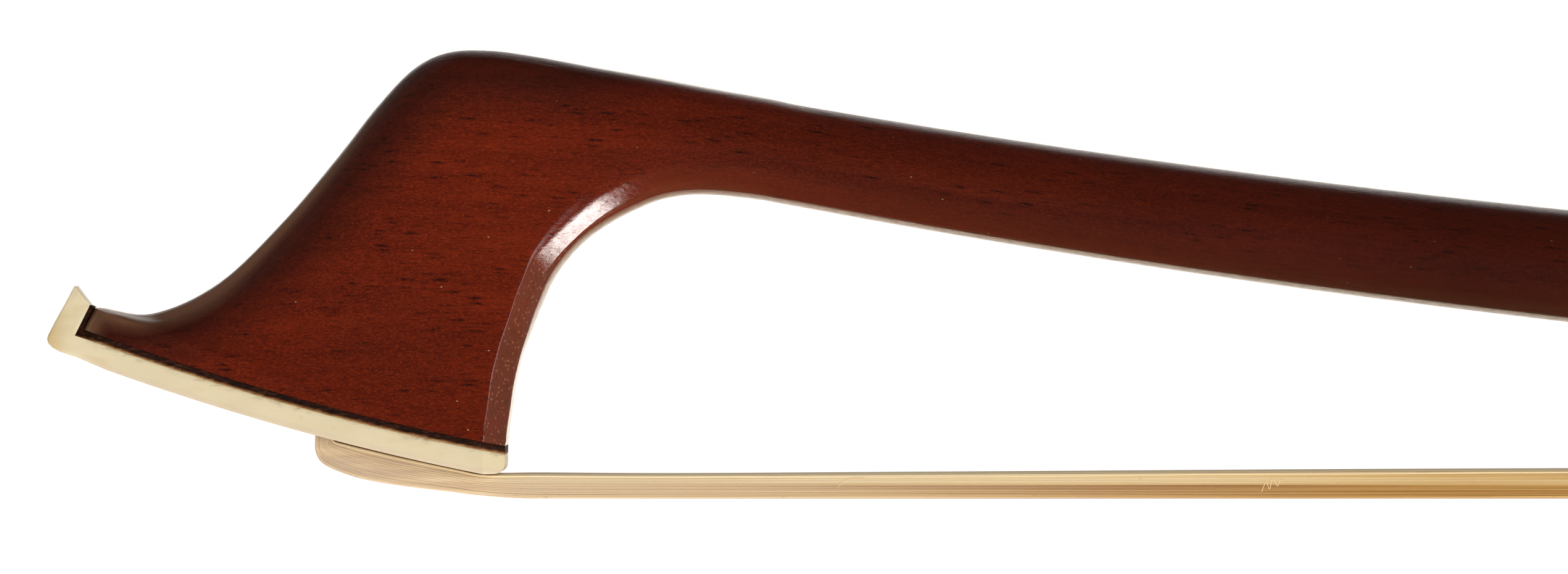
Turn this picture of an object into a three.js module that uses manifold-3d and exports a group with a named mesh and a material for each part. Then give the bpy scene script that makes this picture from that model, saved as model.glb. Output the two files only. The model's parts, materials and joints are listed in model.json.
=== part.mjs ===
// A cello bow, in millimetres. x runs from the nose of the head to the button. z = 0 is the plane that the
// hair at the head and the flat of the ferrule rest on. The bow is alike on both sides of y = 0.
import * as THREE from "three";
import { mergeVertices } from "three/addons/utils/BufferGeometryUtils.js";
import Module from "manifold-3d";

const wasm = await Module();
wasm.setup();

// The whole bow
const overall_length = 713;
const button_length = 16.2;
const button_gap = 0.3;

// Stick: its taper and its camber
const neck_diameter = 6.44;
const handle_across_flats = 9.8;
const taper_start_x = 52;
const taper_length = 199;
const handle_length = 96.5;
const camber_fade_length = 136;
const camber_fall_share = 0.2359;
const handle_height = 21;
const octagon_inset = 1;
const octagon_blend_length = 6;

// Head
const head_length = 48.6;
const head_height = 26.94;
const head_width = 11.8;
const throat_chamfer_depth = 1.4;
const throat_chamfer_side = 1.35;
const crest_bevel_depth = 0.95;
const crest_bevel_side = 1.6;
const nose_width_share = 0.191;
const cheek_crown = 0.12;

// Head plate and its lining
const plate_thickness = 1.5;
const lining_thickness = 0.45;
const plate_edge_bevel = 0.3;
const glue_gap = 0.05;
const plate_end_rise = 0.26;

// Hair
const hair_tip_thickness = 1.46;
const hair_run_thickness = 1.8;
const hair_ferrule_thickness = 1.5;
const hair_tip_width = 9;
const hair_ferrule_width = 12;
const hair_edge_bevel = 0.3;
const hair_clearance = 0.1;
const hair_swell_length = 50;

// Mortise, wedge and knot in the head
const head_mortise_rear_wall = 2.2;
const head_mortise_length = 10.1;
const head_mortise_width = 6.6;
const head_mortise_depth = 10.4;
const mortise_hair_thickness = 1.3;
const wedge_clearance = 0.2;
const knot_width = 4.8;
const knot_length = 1.7;
const knot_thread_thickness = 0.4;
const knot_thread_width = 1.1;

// Grip and winding
const leather_length = 32;
const leather_thickness = 0.9;
const leather_room = 1;
const lapping_length = 70;
const lapping_sleeve_thickness = 0.25;
const lapping_turns = 24;
const lapping_strip_width = 1.35;
const lapping_strip_thickness = 0.35;
const grip_clearance = 0.1;
const lapping_end_gap = 0.2;

// Frog
const frog_length = 51;
const heel_gap = 5.5;
const frog_base_width = 14;
const frog_top_width = 11.8;
const frog_waist = 0.45;
const frog_lift = 0.3;
const frog_edge_drop = 2.9;
const frog_lip_height = 2.8;
const throat_bite = 9;
const throat_overhang = 1.5;
const running_gap = 0.15;
const underslide_thickness = 0.45;
const seat_gap = 0.1;
const underslide_edge_drop = 3.4;
const underslide_end_gap = 1.5;
const underslide_pin_diameter = 1.6;
const underslide_pin_length = 4;
const underslide_pin_inset = 4;

// Ferrule
const ferrule_length = 12;
const ferrule_height = 7.4;
const ferrule_wall = 0.6;
const ferrule_corner = 1;
const ferrule_seat_gap = 0.1;
const tongue_clearance = 0.15;
const spread_wedge_thickness = 0.7;
const spread_wedge_length = 7.5;
const spread_wedge_inset = 0.5;

// Slide, heel plates and eyes
const slide_width = 9;
const slide_dovetail = 0.6;
const slide_base_thickness = 1.05;
const slide_pearl_thickness = 0.7;
const slide_clearance = 0.15;
const heel_plate_length = 7;
const heel_plate_thickness = 0.7;
const back_plate_height = 12.5;
const back_plate_thickness = 0.7;
const plate_pin_diameter = 1.2;
const plate_pin_length = 4;
const pin_clearance = 0.1;
const eye_ring_diameter = 7.6;
const eye_ring_bore = 5.6;
const eye_depth = 1;
const eye_inlay_gap = 0.1;

// Hair mortise of the frog
const frog_mortise_front_wall = 2;
const frog_mortise_length = 9.2;
const frog_mortise_width = 9;
const frog_mortise_height = 6.8;
const frog_hair_thickness = 1.1;
const frog_fold_radius = 0.3;

// Screw, eyelet and the slot that the eyelet runs in
const screw_diameter = 3.2;
const screw_pitch = 0.7;
const thread_depth = 0.3;
const screw_nose_length = 8;
const screw_clearance = 0.2;
const turns_to_loosen = 7;
const turns_to_tighten = 4;
const eyelet_setback = 1.5;
const eyelet_diameter = 5.2;
const eyelet_length = 6;
const eyelet_stem_diameter = 3.6;
const eyelet_stem_length = 7;
const eyelet_clearance = 0.3;
const slot_end_clearance = 0.5;
const slot_roof = 0.5;

// Button
const button_across_flats = 10.8;
const button_waist = 0.3;
const button_ring_length = 3.5;
const button_cap_length = 4.5;
const button_spigot_diameter = 7.4;
const button_spigot_length = 1.3;
const nipple_clearance = 0.2;
const nipple_end_clearance = 0.5;
const button_eye_thickness = 0.9;
const button_pin_length = 1.6;
const button_screw_cover = 2;

// Counts of faces
const ring_steps = 16;
const head_substeps = 2;
const stick_step_length = 24;
const bore_sides = 24;
const pin_sides = 12;
const thread_sides = 12;
const thread_steps = 4;
const lapping_steps = 16;
const ferrule_steps = 18;
const throat_steps = 8;
const plate_steps = 12;

const overrun = 2;
const weld_distance = 1e-4;
const thread_end_length = 0.01;
const octagon_angle = Math.PI / 4;
const octagon_tangent = Math.tan(octagon_angle / 2);

const materials = {
  pernambuco: finish(0x5a2010, 0.3, 0),
  ebony: finish(0x17120f, 0.45, 0),
  bone: finish(0xe0d0ae, 0.4, 0),
  hair: finish(0xcaa26a, 0.6, 0),
  plug_wood: finish(0xb98f5c, 0.7, 0),
  thread: finish(0x8e2a22, 0.8, 0),
  leather: finish(0x2a1b14, 0.7, 0),
  pale_winding: finish(0xd8c79a, 0.5, 0),
  dark_winding: finish(0x1c1410, 0.45, 0),
  silver: finish(0xc9c6bf, 0.3, 1),
  brass: finish(0xb6914b, 0.4, 1),
  steel: finish(0x8d8f92, 0.35, 1),
  pearl: finish(0xd9d6cf, 0.25, 0),
};

function finish(color, roughness, metalness) {
  return new THREE.MeshStandardMaterial({ color, roughness, metalness });
}

// Shapes

function mirroredRing(half) {
  const others = half.slice(1, -1).reverse();
  return [...half, ...others.map((p) => new THREE.Vector3(p.x, -p.y, p.z))];
}

function signedVolume(points, faces) {
  let six = 0;
  for (let i = 0; i < faces.length; i += 3) {
    const [a, b, c] = [points[faces[i]], points[faces[i + 1]], points[faces[i + 2]]];
    six += a.dot(b.clone().cross(c));
  }
  return six;
}

function closedSurface(points, faces) {
  if (signedVolume(points, faces) < 0) faces.reverse();
  const geometry = new THREE.BufferGeometry().setFromPoints(points);
  geometry.setIndex(faces);
  return geometry;
}

function sideFaces(faces, size, from, to, flipped) {
  for (let k = 0; k < size; k++) {
    const next = (k + 1) % size;
    const [a, b, c, d] = [from + k, from + next, to + next, to + k];
    if (flipped) faces.push(a, c, b, a, d, c);
    else faces.push(a, b, c, a, c, d);
  }
}

// An end face that joins each point to its mirror image, so that it may curve along the middle plane.
function capFaces(faces, size, start, flipped) {
  for (let k = 0; k < size / 2; k++) {
    const quad = [k, k + 1, size - k - 1, (size - k) % size].map((i) => start + i);
    if (flipped) quad.reverse();
    const [a, b, c, d] = quad;
    if (a !== d && a !== b && b !== d) faces.push(a, b, d);
    if (b !== c && c !== d && b !== d) faces.push(b, c, d);
  }
}

function loft(rings) {
  const size = rings[0].length;
  const faces = [];
  capFaces(faces, size, 0, true);
  for (let i = 0; i + 1 < rings.length; i++) sideFaces(faces, size, i * size, (i + 1) * size, false);
  capFaces(faces, size, (rings.length - 1) * size, false);
  return closedSurface(rings.flat(), faces);
}

function sleeve(outer, inner) {
  const size = outer[0].length;
  const last = outer.length - 1;
  const start = outer.length * size;
  const faces = [];
  for (let i = 0; i < last; i++) {
    sideFaces(faces, size, i * size, (i + 1) * size, false);
    sideFaces(faces, size, start + i * size, start + (i + 1) * size, true);
  }
  sideFaces(faces, size, start, 0, false);
  sideFaces(faces, size, last * size, start + last * size, false);
  return closedSurface([...outer.flat(), ...inner.flat()], faces);
}

// A strip whose rows name an outer and an inner point in the middle plane and a half width.
function ribbon(rows, bevel) {
  const rings = rows.map(({ outer, inner, half }) => {
    const across = inner.clone().sub(outer);
    const side = outer.clone().addScaledVector(across, bevel / across.length());
    return mirroredRing([
      inner.clone(),
      inner.clone().setY(half),
      side.setY(half),
      outer.clone().setY(half - bevel),
      outer.clone(),
    ]);
  });
  return loft(rings);
}

function at(x, z) {
  return new THREE.Vector3(x, 0, z);
}

function uprightRow(z, outerX, innerX, half) {
  return { outer: at(outerX, z), inner: at(innerX, z), half };
}

function levelRow(x, outerZ, innerZ, half) {
  return { outer: at(x, outerZ), inner: at(x, innerZ), half };
}

function block([x0, x1], [y0, y1], [z0, z1]) {
  const geometry = new THREE.BoxGeometry(x1 - x0, y1 - y0, z1 - z0);
  return geometry.translate((x0 + x1) / 2, (y0 + y1) / 2, (z0 + z1) / 2);
}

function rodAlongX(radius, x0, x1, sides) {
  const geometry = new THREE.CylinderGeometry(radius, radius, x1 - x0, sides);
  return geometry.rotateZ(Math.PI / 2).translate((x0 + x1) / 2, 0, 0);
}

function rodAlongY(radius, y0, y1, sides) {
  const geometry = new THREE.CylinderGeometry(radius, radius, y1 - y0, sides);
  return geometry.translate(0, (y0 + y1) / 2, 0);
}

function rodAlongZ(radius, z0, z1, sides) {
  const geometry = new THREE.CylinderGeometry(radius, radius, z1 - z0, sides);
  return geometry.rotateX(Math.PI / 2).translate(0, 0, (z0 + z1) / 2);
}

// A side view of x and z points, made as wide as asked across y.
function plank(points, width) {
  const shape = new THREE.Shape(points.map(([x, z]) => new THREE.Vector2(x, z)));
  const geometry = new THREE.ExtrudeGeometry(shape, { depth: width, bevelEnabled: false });
  return geometry.rotateX(Math.PI / 2).translate(0, width / 2, 0);
}

// An end view of y and z points, drawn out along x.
function prism(points, x0, x1) {
  const shape = new THREE.Shape(points.map(([y, z]) => new THREE.Vector2(y, z)));
  const geometry = new THREE.ExtrudeGeometry(shape, { depth: x1 - x0, bevelEnabled: false });
  const turned = new THREE.Matrix4().makeBasis(
    new THREE.Vector3(0, 1, 0),
    new THREE.Vector3(0, 0, 1),
    new THREE.Vector3(1, 0, 0),
  );
  return geometry.applyMatrix4(turned).translate(x0, 0, 0);
}

// Half an end view, from the middle plane to the middle plane, completed on its other side.
function bothSides(half) {
  const others = half.filter(([y]) => y > 0).reverse();
  return [...half, ...others.map(([y, z]) => [-y, z])];
}

function octagon(acrossFlats) {
  const points = [];
  const radius = acrossFlats / 2 / Math.cos(octagon_angle / 2);
  for (let angle = octagon_angle / 2; angle < 2 * Math.PI; angle += octagon_angle)
    points.push([radius * Math.cos(angle), radius * Math.sin(angle)]);
  return points;
}

function solid(geometry, matrix) {
  const placed = geometry.clone();
  if (matrix) placed.applyMatrix4(matrix);
  for (const name of ["normal", "uv"]) placed.deleteAttribute(name);
  const merged = mergeVertices(placed, weld_distance);
  const vertProperties = new Float32Array(merged.attributes.position.array);
  const triVerts = new Uint32Array(merged.index.array);
  return new wasm.Manifold(new wasm.Mesh({ numProp: 3, vertProperties, triVerts }));
}

function cut(geometry, ...tools) {
  return tools.reduce((body, tool) => body.subtract(tool), solid(geometry));
}

function geometryOf(body) {
  const { vertProperties, triVerts } = body.getMesh();
  const geometry = new THREE.BufferGeometry();
  geometry.setAttribute("position", new THREE.BufferAttribute(vertProperties, 3));
  return geometry.setIndex(new THREE.BufferAttribute(triVerts, 1));
}

function add(group, name, shape, material) {
  const geometry = shape.isBufferGeometry ? shape : geometryOf(shape);
  const flat = geometry.index ? geometry.toNonIndexed() : geometry;
  flat.computeVertexNormals();
  const mesh = new THREE.Mesh(flat, material);
  mesh.name = name;
  group.add(mesh);
  return mesh;
}

// Heights that the head and the stick share

const head_base_z = hair_tip_thickness + hair_clearance;
const neck_height_share = 0.7461;
const neck_z = head_base_z + neck_height_share * head_height;
const stick_end_x = overall_length - button_length - button_gap;
const camber_end_x = stick_end_x - handle_length;
const frog_heel_x = stick_end_x - heel_gap;
const frog_front_x = frog_heel_x - frog_length;
const frog_shoulder_x = frog_front_x + ferrule_length + ferrule_seat_gap;
const frog_tip_x = frog_front_x + ferrule_length - throat_overhang;
const loosen_travel = turns_to_loosen * screw_pitch;
const tighten_travel = turns_to_tighten * screw_pitch;
const leather_end_x = frog_tip_x - loosen_travel - leather_room;
const leather_start_x = leather_end_x - leather_length;
const lapping_end_x = leather_start_x - lapping_end_gap;
const lapping_start_x = lapping_end_x - lapping_length;
const octagon_start_x = leather_start_x + octagon_inset;

function camberFall(along) {
  return camber_fall_share * camber_fade_length * (1 - Math.exp(-along / camber_fade_length));
}

const camber_length = camber_end_x - head_length;
const camber_rise_share = (handle_height - neck_z + camberFall(camber_length)) / camber_length;

function axisSlope(x) {
  const along = Math.min(x, camber_end_x) - head_length;
  return camber_rise_share - camber_fall_share * Math.exp(-along / camber_fade_length);
}

function axisHeight(x) {
  const along = Math.min(x, camber_end_x) - head_length;
  const beyond = Math.max(0, x - camber_end_x) * axisSlope(camber_end_x);
  return neck_z + camber_rise_share * along - camberFall(along) + beyond;
}

function stickDiameter(x) {
  const thinner = (handle_across_flats - neck_diameter) * Math.exp((taper_start_x - x) / taper_length);
  return handle_across_flats - thinner;
}

const bow = new THREE.Group();
const handle = new THREE.Group();
const handle_tilt = Math.atan(axisSlope(camber_end_x));
handle.rotation.y = -handle_tilt;
handle.position.copy(at(camber_end_x, axisHeight(camber_end_x)));
handle.position.sub(at(camber_end_x * Math.cos(handle_tilt), camber_end_x * Math.sin(handle_tilt)));
handle.updateMatrix();
bow.add(handle);

// The handle's own frame has x along the stick. Its x agrees with the bow's where the camber ends.
function alongHandle(x) {
  return camber_end_x + (x - camber_end_x) / Math.cos(handle_tilt);
}

function onHandle(geometry) {
  return solid(geometry, handle.matrix);
}

// Stick and head, one piece of wood

function stickRing(x, grow) {
  const slope = Math.atan(axisSlope(x));
  const center = at(x, axisHeight(x));
  const flat = THREE.MathUtils.clamp((x - octagon_start_x) / octagon_blend_length, 0, 1);
  const radius = THREE.MathUtils.lerp(stickDiameter(x), handle_across_flats, flat) / 2 + grow;
  const half = [];
  for (let k = 0; k <= ring_steps; k++) {
    const angle = (Math.PI * k) / ring_steps;
    const fromFlat = angle - Math.round(angle / octagon_angle) * octagon_angle;
    const reach = THREE.MathUtils.lerp(radius, radius / Math.cos(fromFlat), flat);
    const down = reach * Math.cos(angle);
    const out = k === 0 || k === ring_steps ? 0 : reach * Math.sin(angle);
    const point = center.clone().add(at(down * Math.sin(slope), -down * Math.cos(slope)));
    half.push(point.setY(out));
  }
  return mirroredRing(half);
}

const seat_nose_share = 0.0463;
const seat_rear_share = 0.601;
const seat_straight_share = 0.674;
const seat_rise_share = 0.2747;
const seat_nose_x = seat_nose_share * head_length;
const seat_rear_x = seat_rear_share * head_length;
const seat_length = seat_rear_x - seat_nose_x;
const seat_rear_z = head_base_z + plate_thickness + lining_thickness + 2 * glue_gap - plate_end_rise;

// The curve that the wood, the lining and the plate share, seen from the side.
function seatHeight(x) {
  const along = (seat_rear_x - x) / seat_length;
  const shape = seat_straight_share * along + (1 - seat_straight_share) * along * along;
  return seat_rear_z + seat_rise_share * head_height * shape;
}

// Stations of the head from the seat to the neck. Each holds the throat point (x, z) and the crest point
// (x, z) as shares of the head's length and height, the half widths at the two as shares of the head's
// width, how square the section is, and how far it follows the seat's curve.
const head_station_shares = [
  [0.6023, 0.0794, 0.0607, 0.3938, 0.495, 0.2, 1, 0.85],
  [0.6035, 0.1054, 0.1358, 0.3838, 0.484, 0.228, 1, 0.5],
  [0.6076, 0.1555, 0.2243, 0.4543, 0.463, 0.249, 1, 0.2],
  [0.6123, 0.2138, 0.3086, 0.5954, 0.441, 0.27, 1, 0],
  [0.6206, 0.2725, 0.3786, 0.7439, 0.416, 0.28, 1, 0],
  [0.6327, 0.3307, 0.4321, 0.8671, 0.393, 0.285, 1, 0],
  [0.6461, 0.3912, 0.4794, 0.9555, 0.372, 0.287, 1, 0],
  [0.6667, 0.4696, 0.5247, 0.9948, 0.35, 0.289, 1, 0],
  [0.6984, 0.5397, 0.5802, 0.9993, 0.33, 0.289, 1, 0],
  [0.7348, 0.5895, 0.642, 0.9852, 0.312, 0.288, 0.9, 0],
  [0.7784, 0.6303, 0.716, 0.961, 0.298, 0.284, 0.75, 0],
  [0.8142, 0.6522, 0.7922, 0.9369, 0.288, 0.28, 0.55, 0],
  [0.8595, 0.6596, 0.8683, 0.9109, 0.28, 0.277, 0.35, 0],
  [0.9243, 0.6496, 0.9465, 0.8857, 0.275, 0.275, 0.15, 0],
];

function headStations() {
  const x = (share) => share * head_length;
  const z = (share) => head_base_z + share * head_height;
  const seat = {
    throat: at(seat_rear_x, seatHeight(seat_rear_x)),
    crest: at(seat_nose_x, seatHeight(seat_nose_x)),
    throatHalf: head_width / 2,
    crestHalf: nose_width_share * head_width,
    square: 1,
    seated: 1,
  };
  const rows = head_station_shares.map(([tx, tz, cx, cz, th, ch, square, seated]) => ({
    throat: at(x(tx), z(tz)),
    crest: at(x(cx), z(cz)),
    throatHalf: th * head_width,
    crestHalf: ch * head_width,
    square,
    seated,
  }));
  const necks = [head_length, head_length + stick_step_length / 2].map((neckX) => {
    const ring = stickRing(neckX, 0);
    const half = stickDiameter(neckX) / 2;
    return {
      throat: ring[0],
      crest: ring[ring_steps],
      throatHalf: half,
      crestHalf: half,
      square: 0,
      seated: 0,
    };
  });
  return [seat, ...rows, ...necks];
}

// The flat along the crest keeps at least the bevel's width on each side.
function crestFlatHalf(crestHalf) {
  return Math.max(crestHalf - crest_bevel_side, crest_bevel_side);
}

// Places round half a square section: index, share of the way from throat to crest, and half width.
function headRing({ throat, crest, throatHalf, crestHalf, square, seated }) {
  const span = crest.clone().sub(throat);
  const chamfer = throat_chamfer_depth / span.length();
  const bevel = 1 - crest_bevel_depth / span.length();
  const corners = [
    [0, 0, 0],
    [ring_steps / 8, 0, throatHalf - throat_chamfer_side],
    [(3 * ring_steps) / 8, chamfer, throatHalf],
    [(3 * ring_steps) / 4, bevel, crestHalf],
    [(7 * ring_steps) / 8, 1, crestFlatHalf(crestHalf)],
    [ring_steps, 1, 0],
  ];
  const half = [];
  let corner = 0;
  for (let k = 0; k <= ring_steps; k++) {
    if (k > corners[corner + 1][0]) corner++;
    const [k0, share0, half0] = corners[corner];
    const [k1, share1, half1] = corners[corner + 1];
    const way = (k - k0) / (k1 - k0);
    const crown = corner === 2 ? cheek_crown * Math.sin(Math.PI * way) : 0;
    const angle = (Math.PI * k) / ring_steps;
    const roundShare = (1 - Math.cos(angle)) / 2;
    const roundHalf = THREE.MathUtils.lerp(throatHalf, crestHalf, roundShare) * Math.sin(angle);
    const squareShare = THREE.MathUtils.lerp(share0, share1, way);
    const squareHalf = THREE.MathUtils.lerp(half0, half1, way) + crown;
    const share = THREE.MathUtils.lerp(roundShare, squareShare, square);
    const out = THREE.MathUtils.lerp(roundHalf, squareHalf, square);
    const point = throat.clone().addScaledVector(span, share);
    point.z += seated * (seatHeight(point.x) - seatChord(point.x));
    half.push(point.setY(k === 0 || k === ring_steps ? 0 : out));
  }
  return mirroredRing(half);
}

function seatChord(x) {
  const along = (seat_rear_x - x) / seat_length;
  return THREE.MathUtils.lerp(seatHeight(seat_rear_x), seatHeight(seat_nose_x), along);
}

// Rings between the stations lie on a smooth curve through them. The seat's own ring stays a sharp edge.
function headRings() {
  const rings = headStations().map(headRing);
  const curves = rings[0].map((_, k) => {
    const points = rings.map((ring) => ring[k]);
    return new THREE.CatmullRomCurve3(points, false, "catmullrom");
  });
  const neck = rings.length - 2;
  const fine = [rings[0]];
  for (let i = head_substeps; i < neck * head_substeps; i++) {
    const way = i / head_substeps / (rings.length - 1);
    fine.push(curves.map((curve) => curve.getPoint(way)));
  }
  return fine;
}

function stickSteps(from, to) {
  const count = Math.ceil((to - from) / stick_step_length);
  return Array.from({ length: count + 1 }, (_, i) => from + ((to - from) * i) / count);
}

// Pieces under the head

function headPoint([xShare, zShare]) {
  return at(xShare * head_length, head_base_z + zShare * head_height);
}

const nose_half = nose_width_share * head_width;
const nose_flat_half = crestFlatHalf(nose_half);
const seat_side_length = seat_length - throat_chamfer_depth - crest_bevel_depth;

// Half the seat's width. The throat's chamfer and the front bevel cut its corners off.
function seatHalf(x) {
  const fromRear = seat_rear_x - x;
  const fromNose = x - seat_nose_x;
  const way = THREE.MathUtils.clamp((fromRear - throat_chamfer_depth) / seat_side_length, 0, 1);
  const side = THREE.MathUtils.lerp(head_width / 2, nose_half, way) + cheek_crown * Math.sin(Math.PI * way);
  const rearCut = throat_chamfer_side * Math.max(0, 1 - fromRear / throat_chamfer_depth);
  const noseCut = (nose_half - nose_flat_half) * Math.max(0, 1 - fromNose / crest_bevel_depth);
  return side - rearCut - noseCut;
}

const lining_depth = glue_gap + lining_thickness;
const plate_top_depth = lining_depth + glue_gap;
const beak_lining_share = 0.35;
const beak_inner_share = 0.7;
const beak_tip_width_share = 0.144;
// Outer points where the plate turns up into the beak, from the underside to the tip.
const beak_outer_shares = [
  [0.0391, 0.2743],
  [0.0093, 0.304],
  [0, 0.3263],
  [0.035, 0.4417],
];

function seatSlope(x) {
  const along = (seat_rear_x - x) / seat_length;
  const steep = seat_straight_share + 2 * (1 - seat_straight_share) * along;
  return (-seat_rise_share * head_height * steep) / seat_length;
}

// A point in front of the wood's nose, at its top or out from its lower corner.
function besideNose(top, depth) {
  const corner = at(seat_nose_x, seatHeight(seat_nose_x));
  const [, , noseX, noseZ] = head_station_shares[0];
  const tip = headPoint([noseX, noseZ]);
  const face = tip.clone().sub(corner).normalize();
  const outward = at(-face.z, face.x);
  if (top) return tip.addScaledVector(outward, depth);
  const below = at(seatSlope(seat_nose_x), -1).normalize();
  const between = outward.clone().add(below);
  return corner.addScaledVector(between, depth / (1 + outward.dot(below)));
}

function seatRows(nearDepth, farZ, lastX) {
  const xs = [seat_rear_x];
  for (let i = 0; i <= plate_steps; i++)
    xs.push(THREE.MathUtils.lerp(seat_rear_x - throat_chamfer_depth, lastX, i / plate_steps));
  return xs.map((x) => levelRow(x, farZ(x), seatHeight(x) - nearDepth, seatHalf(x)));
}

const head_mortise_rear_x = seat_rear_x - head_mortise_rear_wall;
const head_mortise_front_x = head_mortise_rear_x - head_mortise_length;
const head_mortise_top_z = head_base_z + head_mortise_depth;
const headMortise = solid(block(
  [head_mortise_front_x, head_mortise_rear_x],
  [-head_mortise_width / 2, head_mortise_width / 2],
  [0, head_mortise_top_z],
));

function headLining() {
  const under = (x) => seatHeight(x) - lining_depth;
  const rows = seatRows(glue_gap, under, seat_nose_x + crest_bevel_depth);
  const half = nose_flat_half;
  const thin = beak_lining_share * lining_thickness;
  rows.push(
    { outer: besideNose(false, lining_depth), inner: besideNose(false, glue_gap), half },
    { outer: besideNose(true, glue_gap + thin), inner: besideNose(true, glue_gap), half },
  );
  return cut(ribbon(rows, glue_gap), headMortise);
}

function plateUnder(x) {
  return Math.max(seatHeight(x) - plate_top_depth - plate_thickness, head_base_z);
}

function headPlate() {
  const [foot, corner, front, point] = beak_outer_shares.map(headPoint);
  const straight_end_x = seat_nose_x + plate_thickness;
  const rows = seatRows(plate_top_depth, plateUnder, straight_end_x);
  const rear = {
    outer: rows[0].outer.clone().add(at(0, plate_edge_bevel)),
    inner: rows[0].inner.clone().add(at(0, -plate_edge_bevel)),
    half: rows[0].half - plate_edge_bevel,
  };
  for (const edge of [rows[0].outer, rows[0].inner]) edge.x -= plate_edge_bevel;
  const nearCorner = besideNose(false, plate_top_depth);
  const nearX = (straight_end_x + nearCorner.x) / 2;
  const near = at(nearX, seatHeight(nearX) - plate_top_depth);
  const tip = besideNose(true, beak_lining_share * lining_thickness + 2 * glue_gap);
  rows.push(
    { outer: foot, inner: near, half: nose_half },
    { outer: corner, inner: near.clone().lerp(nearCorner, beak_inner_share), half: nose_half },
    { outer: front, inner: nearCorner, half: nose_half },
    { outer: point, inner: tip, half: beak_tip_width_share * head_width },
  );
  return cut(ribbon([rear, ...rows], plate_edge_bevel), headMortise);
}

const tip_hair_outer_x = head_mortise_front_x + wedge_clearance;
const tip_hair_inner_x = tip_hair_outer_x + mortise_hair_thickness;
const knot_shift = knot_thread_thickness + wedge_clearance;
const tip_knot_top_z = head_mortise_top_z - wedge_clearance;
const tip_knot_foot_z = tip_knot_top_z - knot_length;
const tip_bend_z = tip_knot_foot_z - knot_shift;
const plug_top_z = tip_bend_z - wedge_clearance;

function headPlug() {
  const front = tip_hair_inner_x + wedge_clearance;
  const rear = head_mortise_rear_x - wedge_clearance;
  const points = [
    [front, plateUnder(front)],
    [rear, plateUnder(rear)],
    [rear, plug_top_z],
    [front, plug_top_z],
  ];
  return plank(points, head_mortise_width - 2 * wedge_clearance);
}

function knotThread(hairX, top) {
  const room = wedge_clearance / 2;
  const around = room + knot_thread_thickness;
  const half = knot_width / 2;
  const band = block(
    [hairX[0] - around, hairX[1] + around],
    [-half - around, half + around],
    [top - knot_thread_width, top],
  );
  const inside = block(
    [hairX[0] - room, hairX[1] + room],
    [-half - room, half + room],
    [top - knot_thread_width - overrun, top + overrun],
  );
  return cut(band, solid(inside));
}

// Folds of the hair under the head: outer x and inner x from the mortise's front as shares of its length,
// outer z as a share of the hair's thickness, and half width as a share of the tip's width.
const tip_fold_shares = [
  [0.024, 0.14, 1.99, 0.345],
  [0.08, 0.23, 1.46, 0.355],
  [0.237, 0.347, 1.01, 0.375],
  [0.387, 0.485, 0.753, 0.395],
  [0.586, 0.644, 0.541, 0.42],
  [0.884, 0.911, 0.295, 0.46],
  [1.082, 1.1, 0.137, 0.48],
  [1.45, 1.45, 0, 0.5],
];

// Frog: its heights and places, in the bow's frame

const slide_top_z = frog_lift + slide_pearl_thickness + glue_gap + slide_base_thickness;
const frog_hair_z = slide_top_z + running_gap;
const frog_hair_upper_z = frog_hair_z + frog_hair_thickness;
const groove_top_z = frog_hair_upper_z + seat_gap;
const ferrule_hair_z = ferrule_wall + glue_gap;
const spread_wedge_z = ferrule_hair_z + hair_ferrule_thickness + seat_gap;
const tongue_z = spread_wedge_z + spread_wedge_thickness + seat_gap;
const throat_deepest_x = (frog_tip_x + throat_bite) / 2 + (frog_tip_x + frog_shoulder_x) / 4;
const frog_mortise_front_x = throat_deepest_x + frog_mortise_front_wall;
const frog_mortise_rear_x = frog_mortise_front_x + frog_mortise_length;
const frog_mortise_top_z = groove_top_z + frog_mortise_height;
const frog_hair_outer_x = frog_mortise_rear_x - wedge_clearance;
const frog_hair_inner_x = frog_hair_outer_x - frog_hair_thickness;
const frog_knot_z = frog_mortise_top_z - wedge_clearance;
const frog_knot_foot_z = frog_knot_z - knot_length;
const frog_plug_top_z = frog_knot_foot_z - knot_shift - wedge_clearance;
const channel_offset = running_gap + underslide_thickness + seat_gap;

// The knotted ends of the hair are separate from the ribbon, which stretches as the frog slides.
const tip_seam_z = plateUnder(tip_hair_outer_x);
const tip_mouth_x = [tip_hair_outer_x, tip_hair_inner_x];
const tip_mouth_half = head_mortise_width / 2 - wedge_clearance;
const frog_mouth_half = frog_mortise_width / 2 - wedge_clearance;
const frog_fold_x = frog_hair_inner_x - frog_fold_radius;

function tipHairKnot() {
  const knotX = tip_mouth_x.map((x) => x + knot_shift);
  const rows = [
    uprightRow(tip_knot_top_z, ...knotX, knot_width / 2),
    uprightRow(tip_knot_foot_z, ...knotX, knot_width / 2),
    uprightRow(tip_bend_z, ...tip_mouth_x, tip_mouth_half),
    uprightRow(tip_seam_z + glue_gap, ...tip_mouth_x, tip_mouth_half),
  ];
  return ribbon(rows, hair_edge_bevel);
}

// Out of the mortise's mouth, then back along the plate's underside.
function hairAtHead() {
  const folds = tip_fold_shares.map(([outerShare, innerShare, outerZ, half]) => {
    const outerX = head_mortise_front_x + outerShare * head_mortise_length;
    const innerX = head_mortise_front_x + innerShare * head_mortise_length;
    return {
      outer: at(outerX, outerZ * hair_tip_thickness),
      inner: at(innerX, plateUnder(innerX) - hair_clearance),
      half: half * hair_tip_width,
    };
  });
  return [uprightRow(tip_seam_z, ...tip_mouth_x, tip_mouth_half), ...folds];
}

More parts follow.
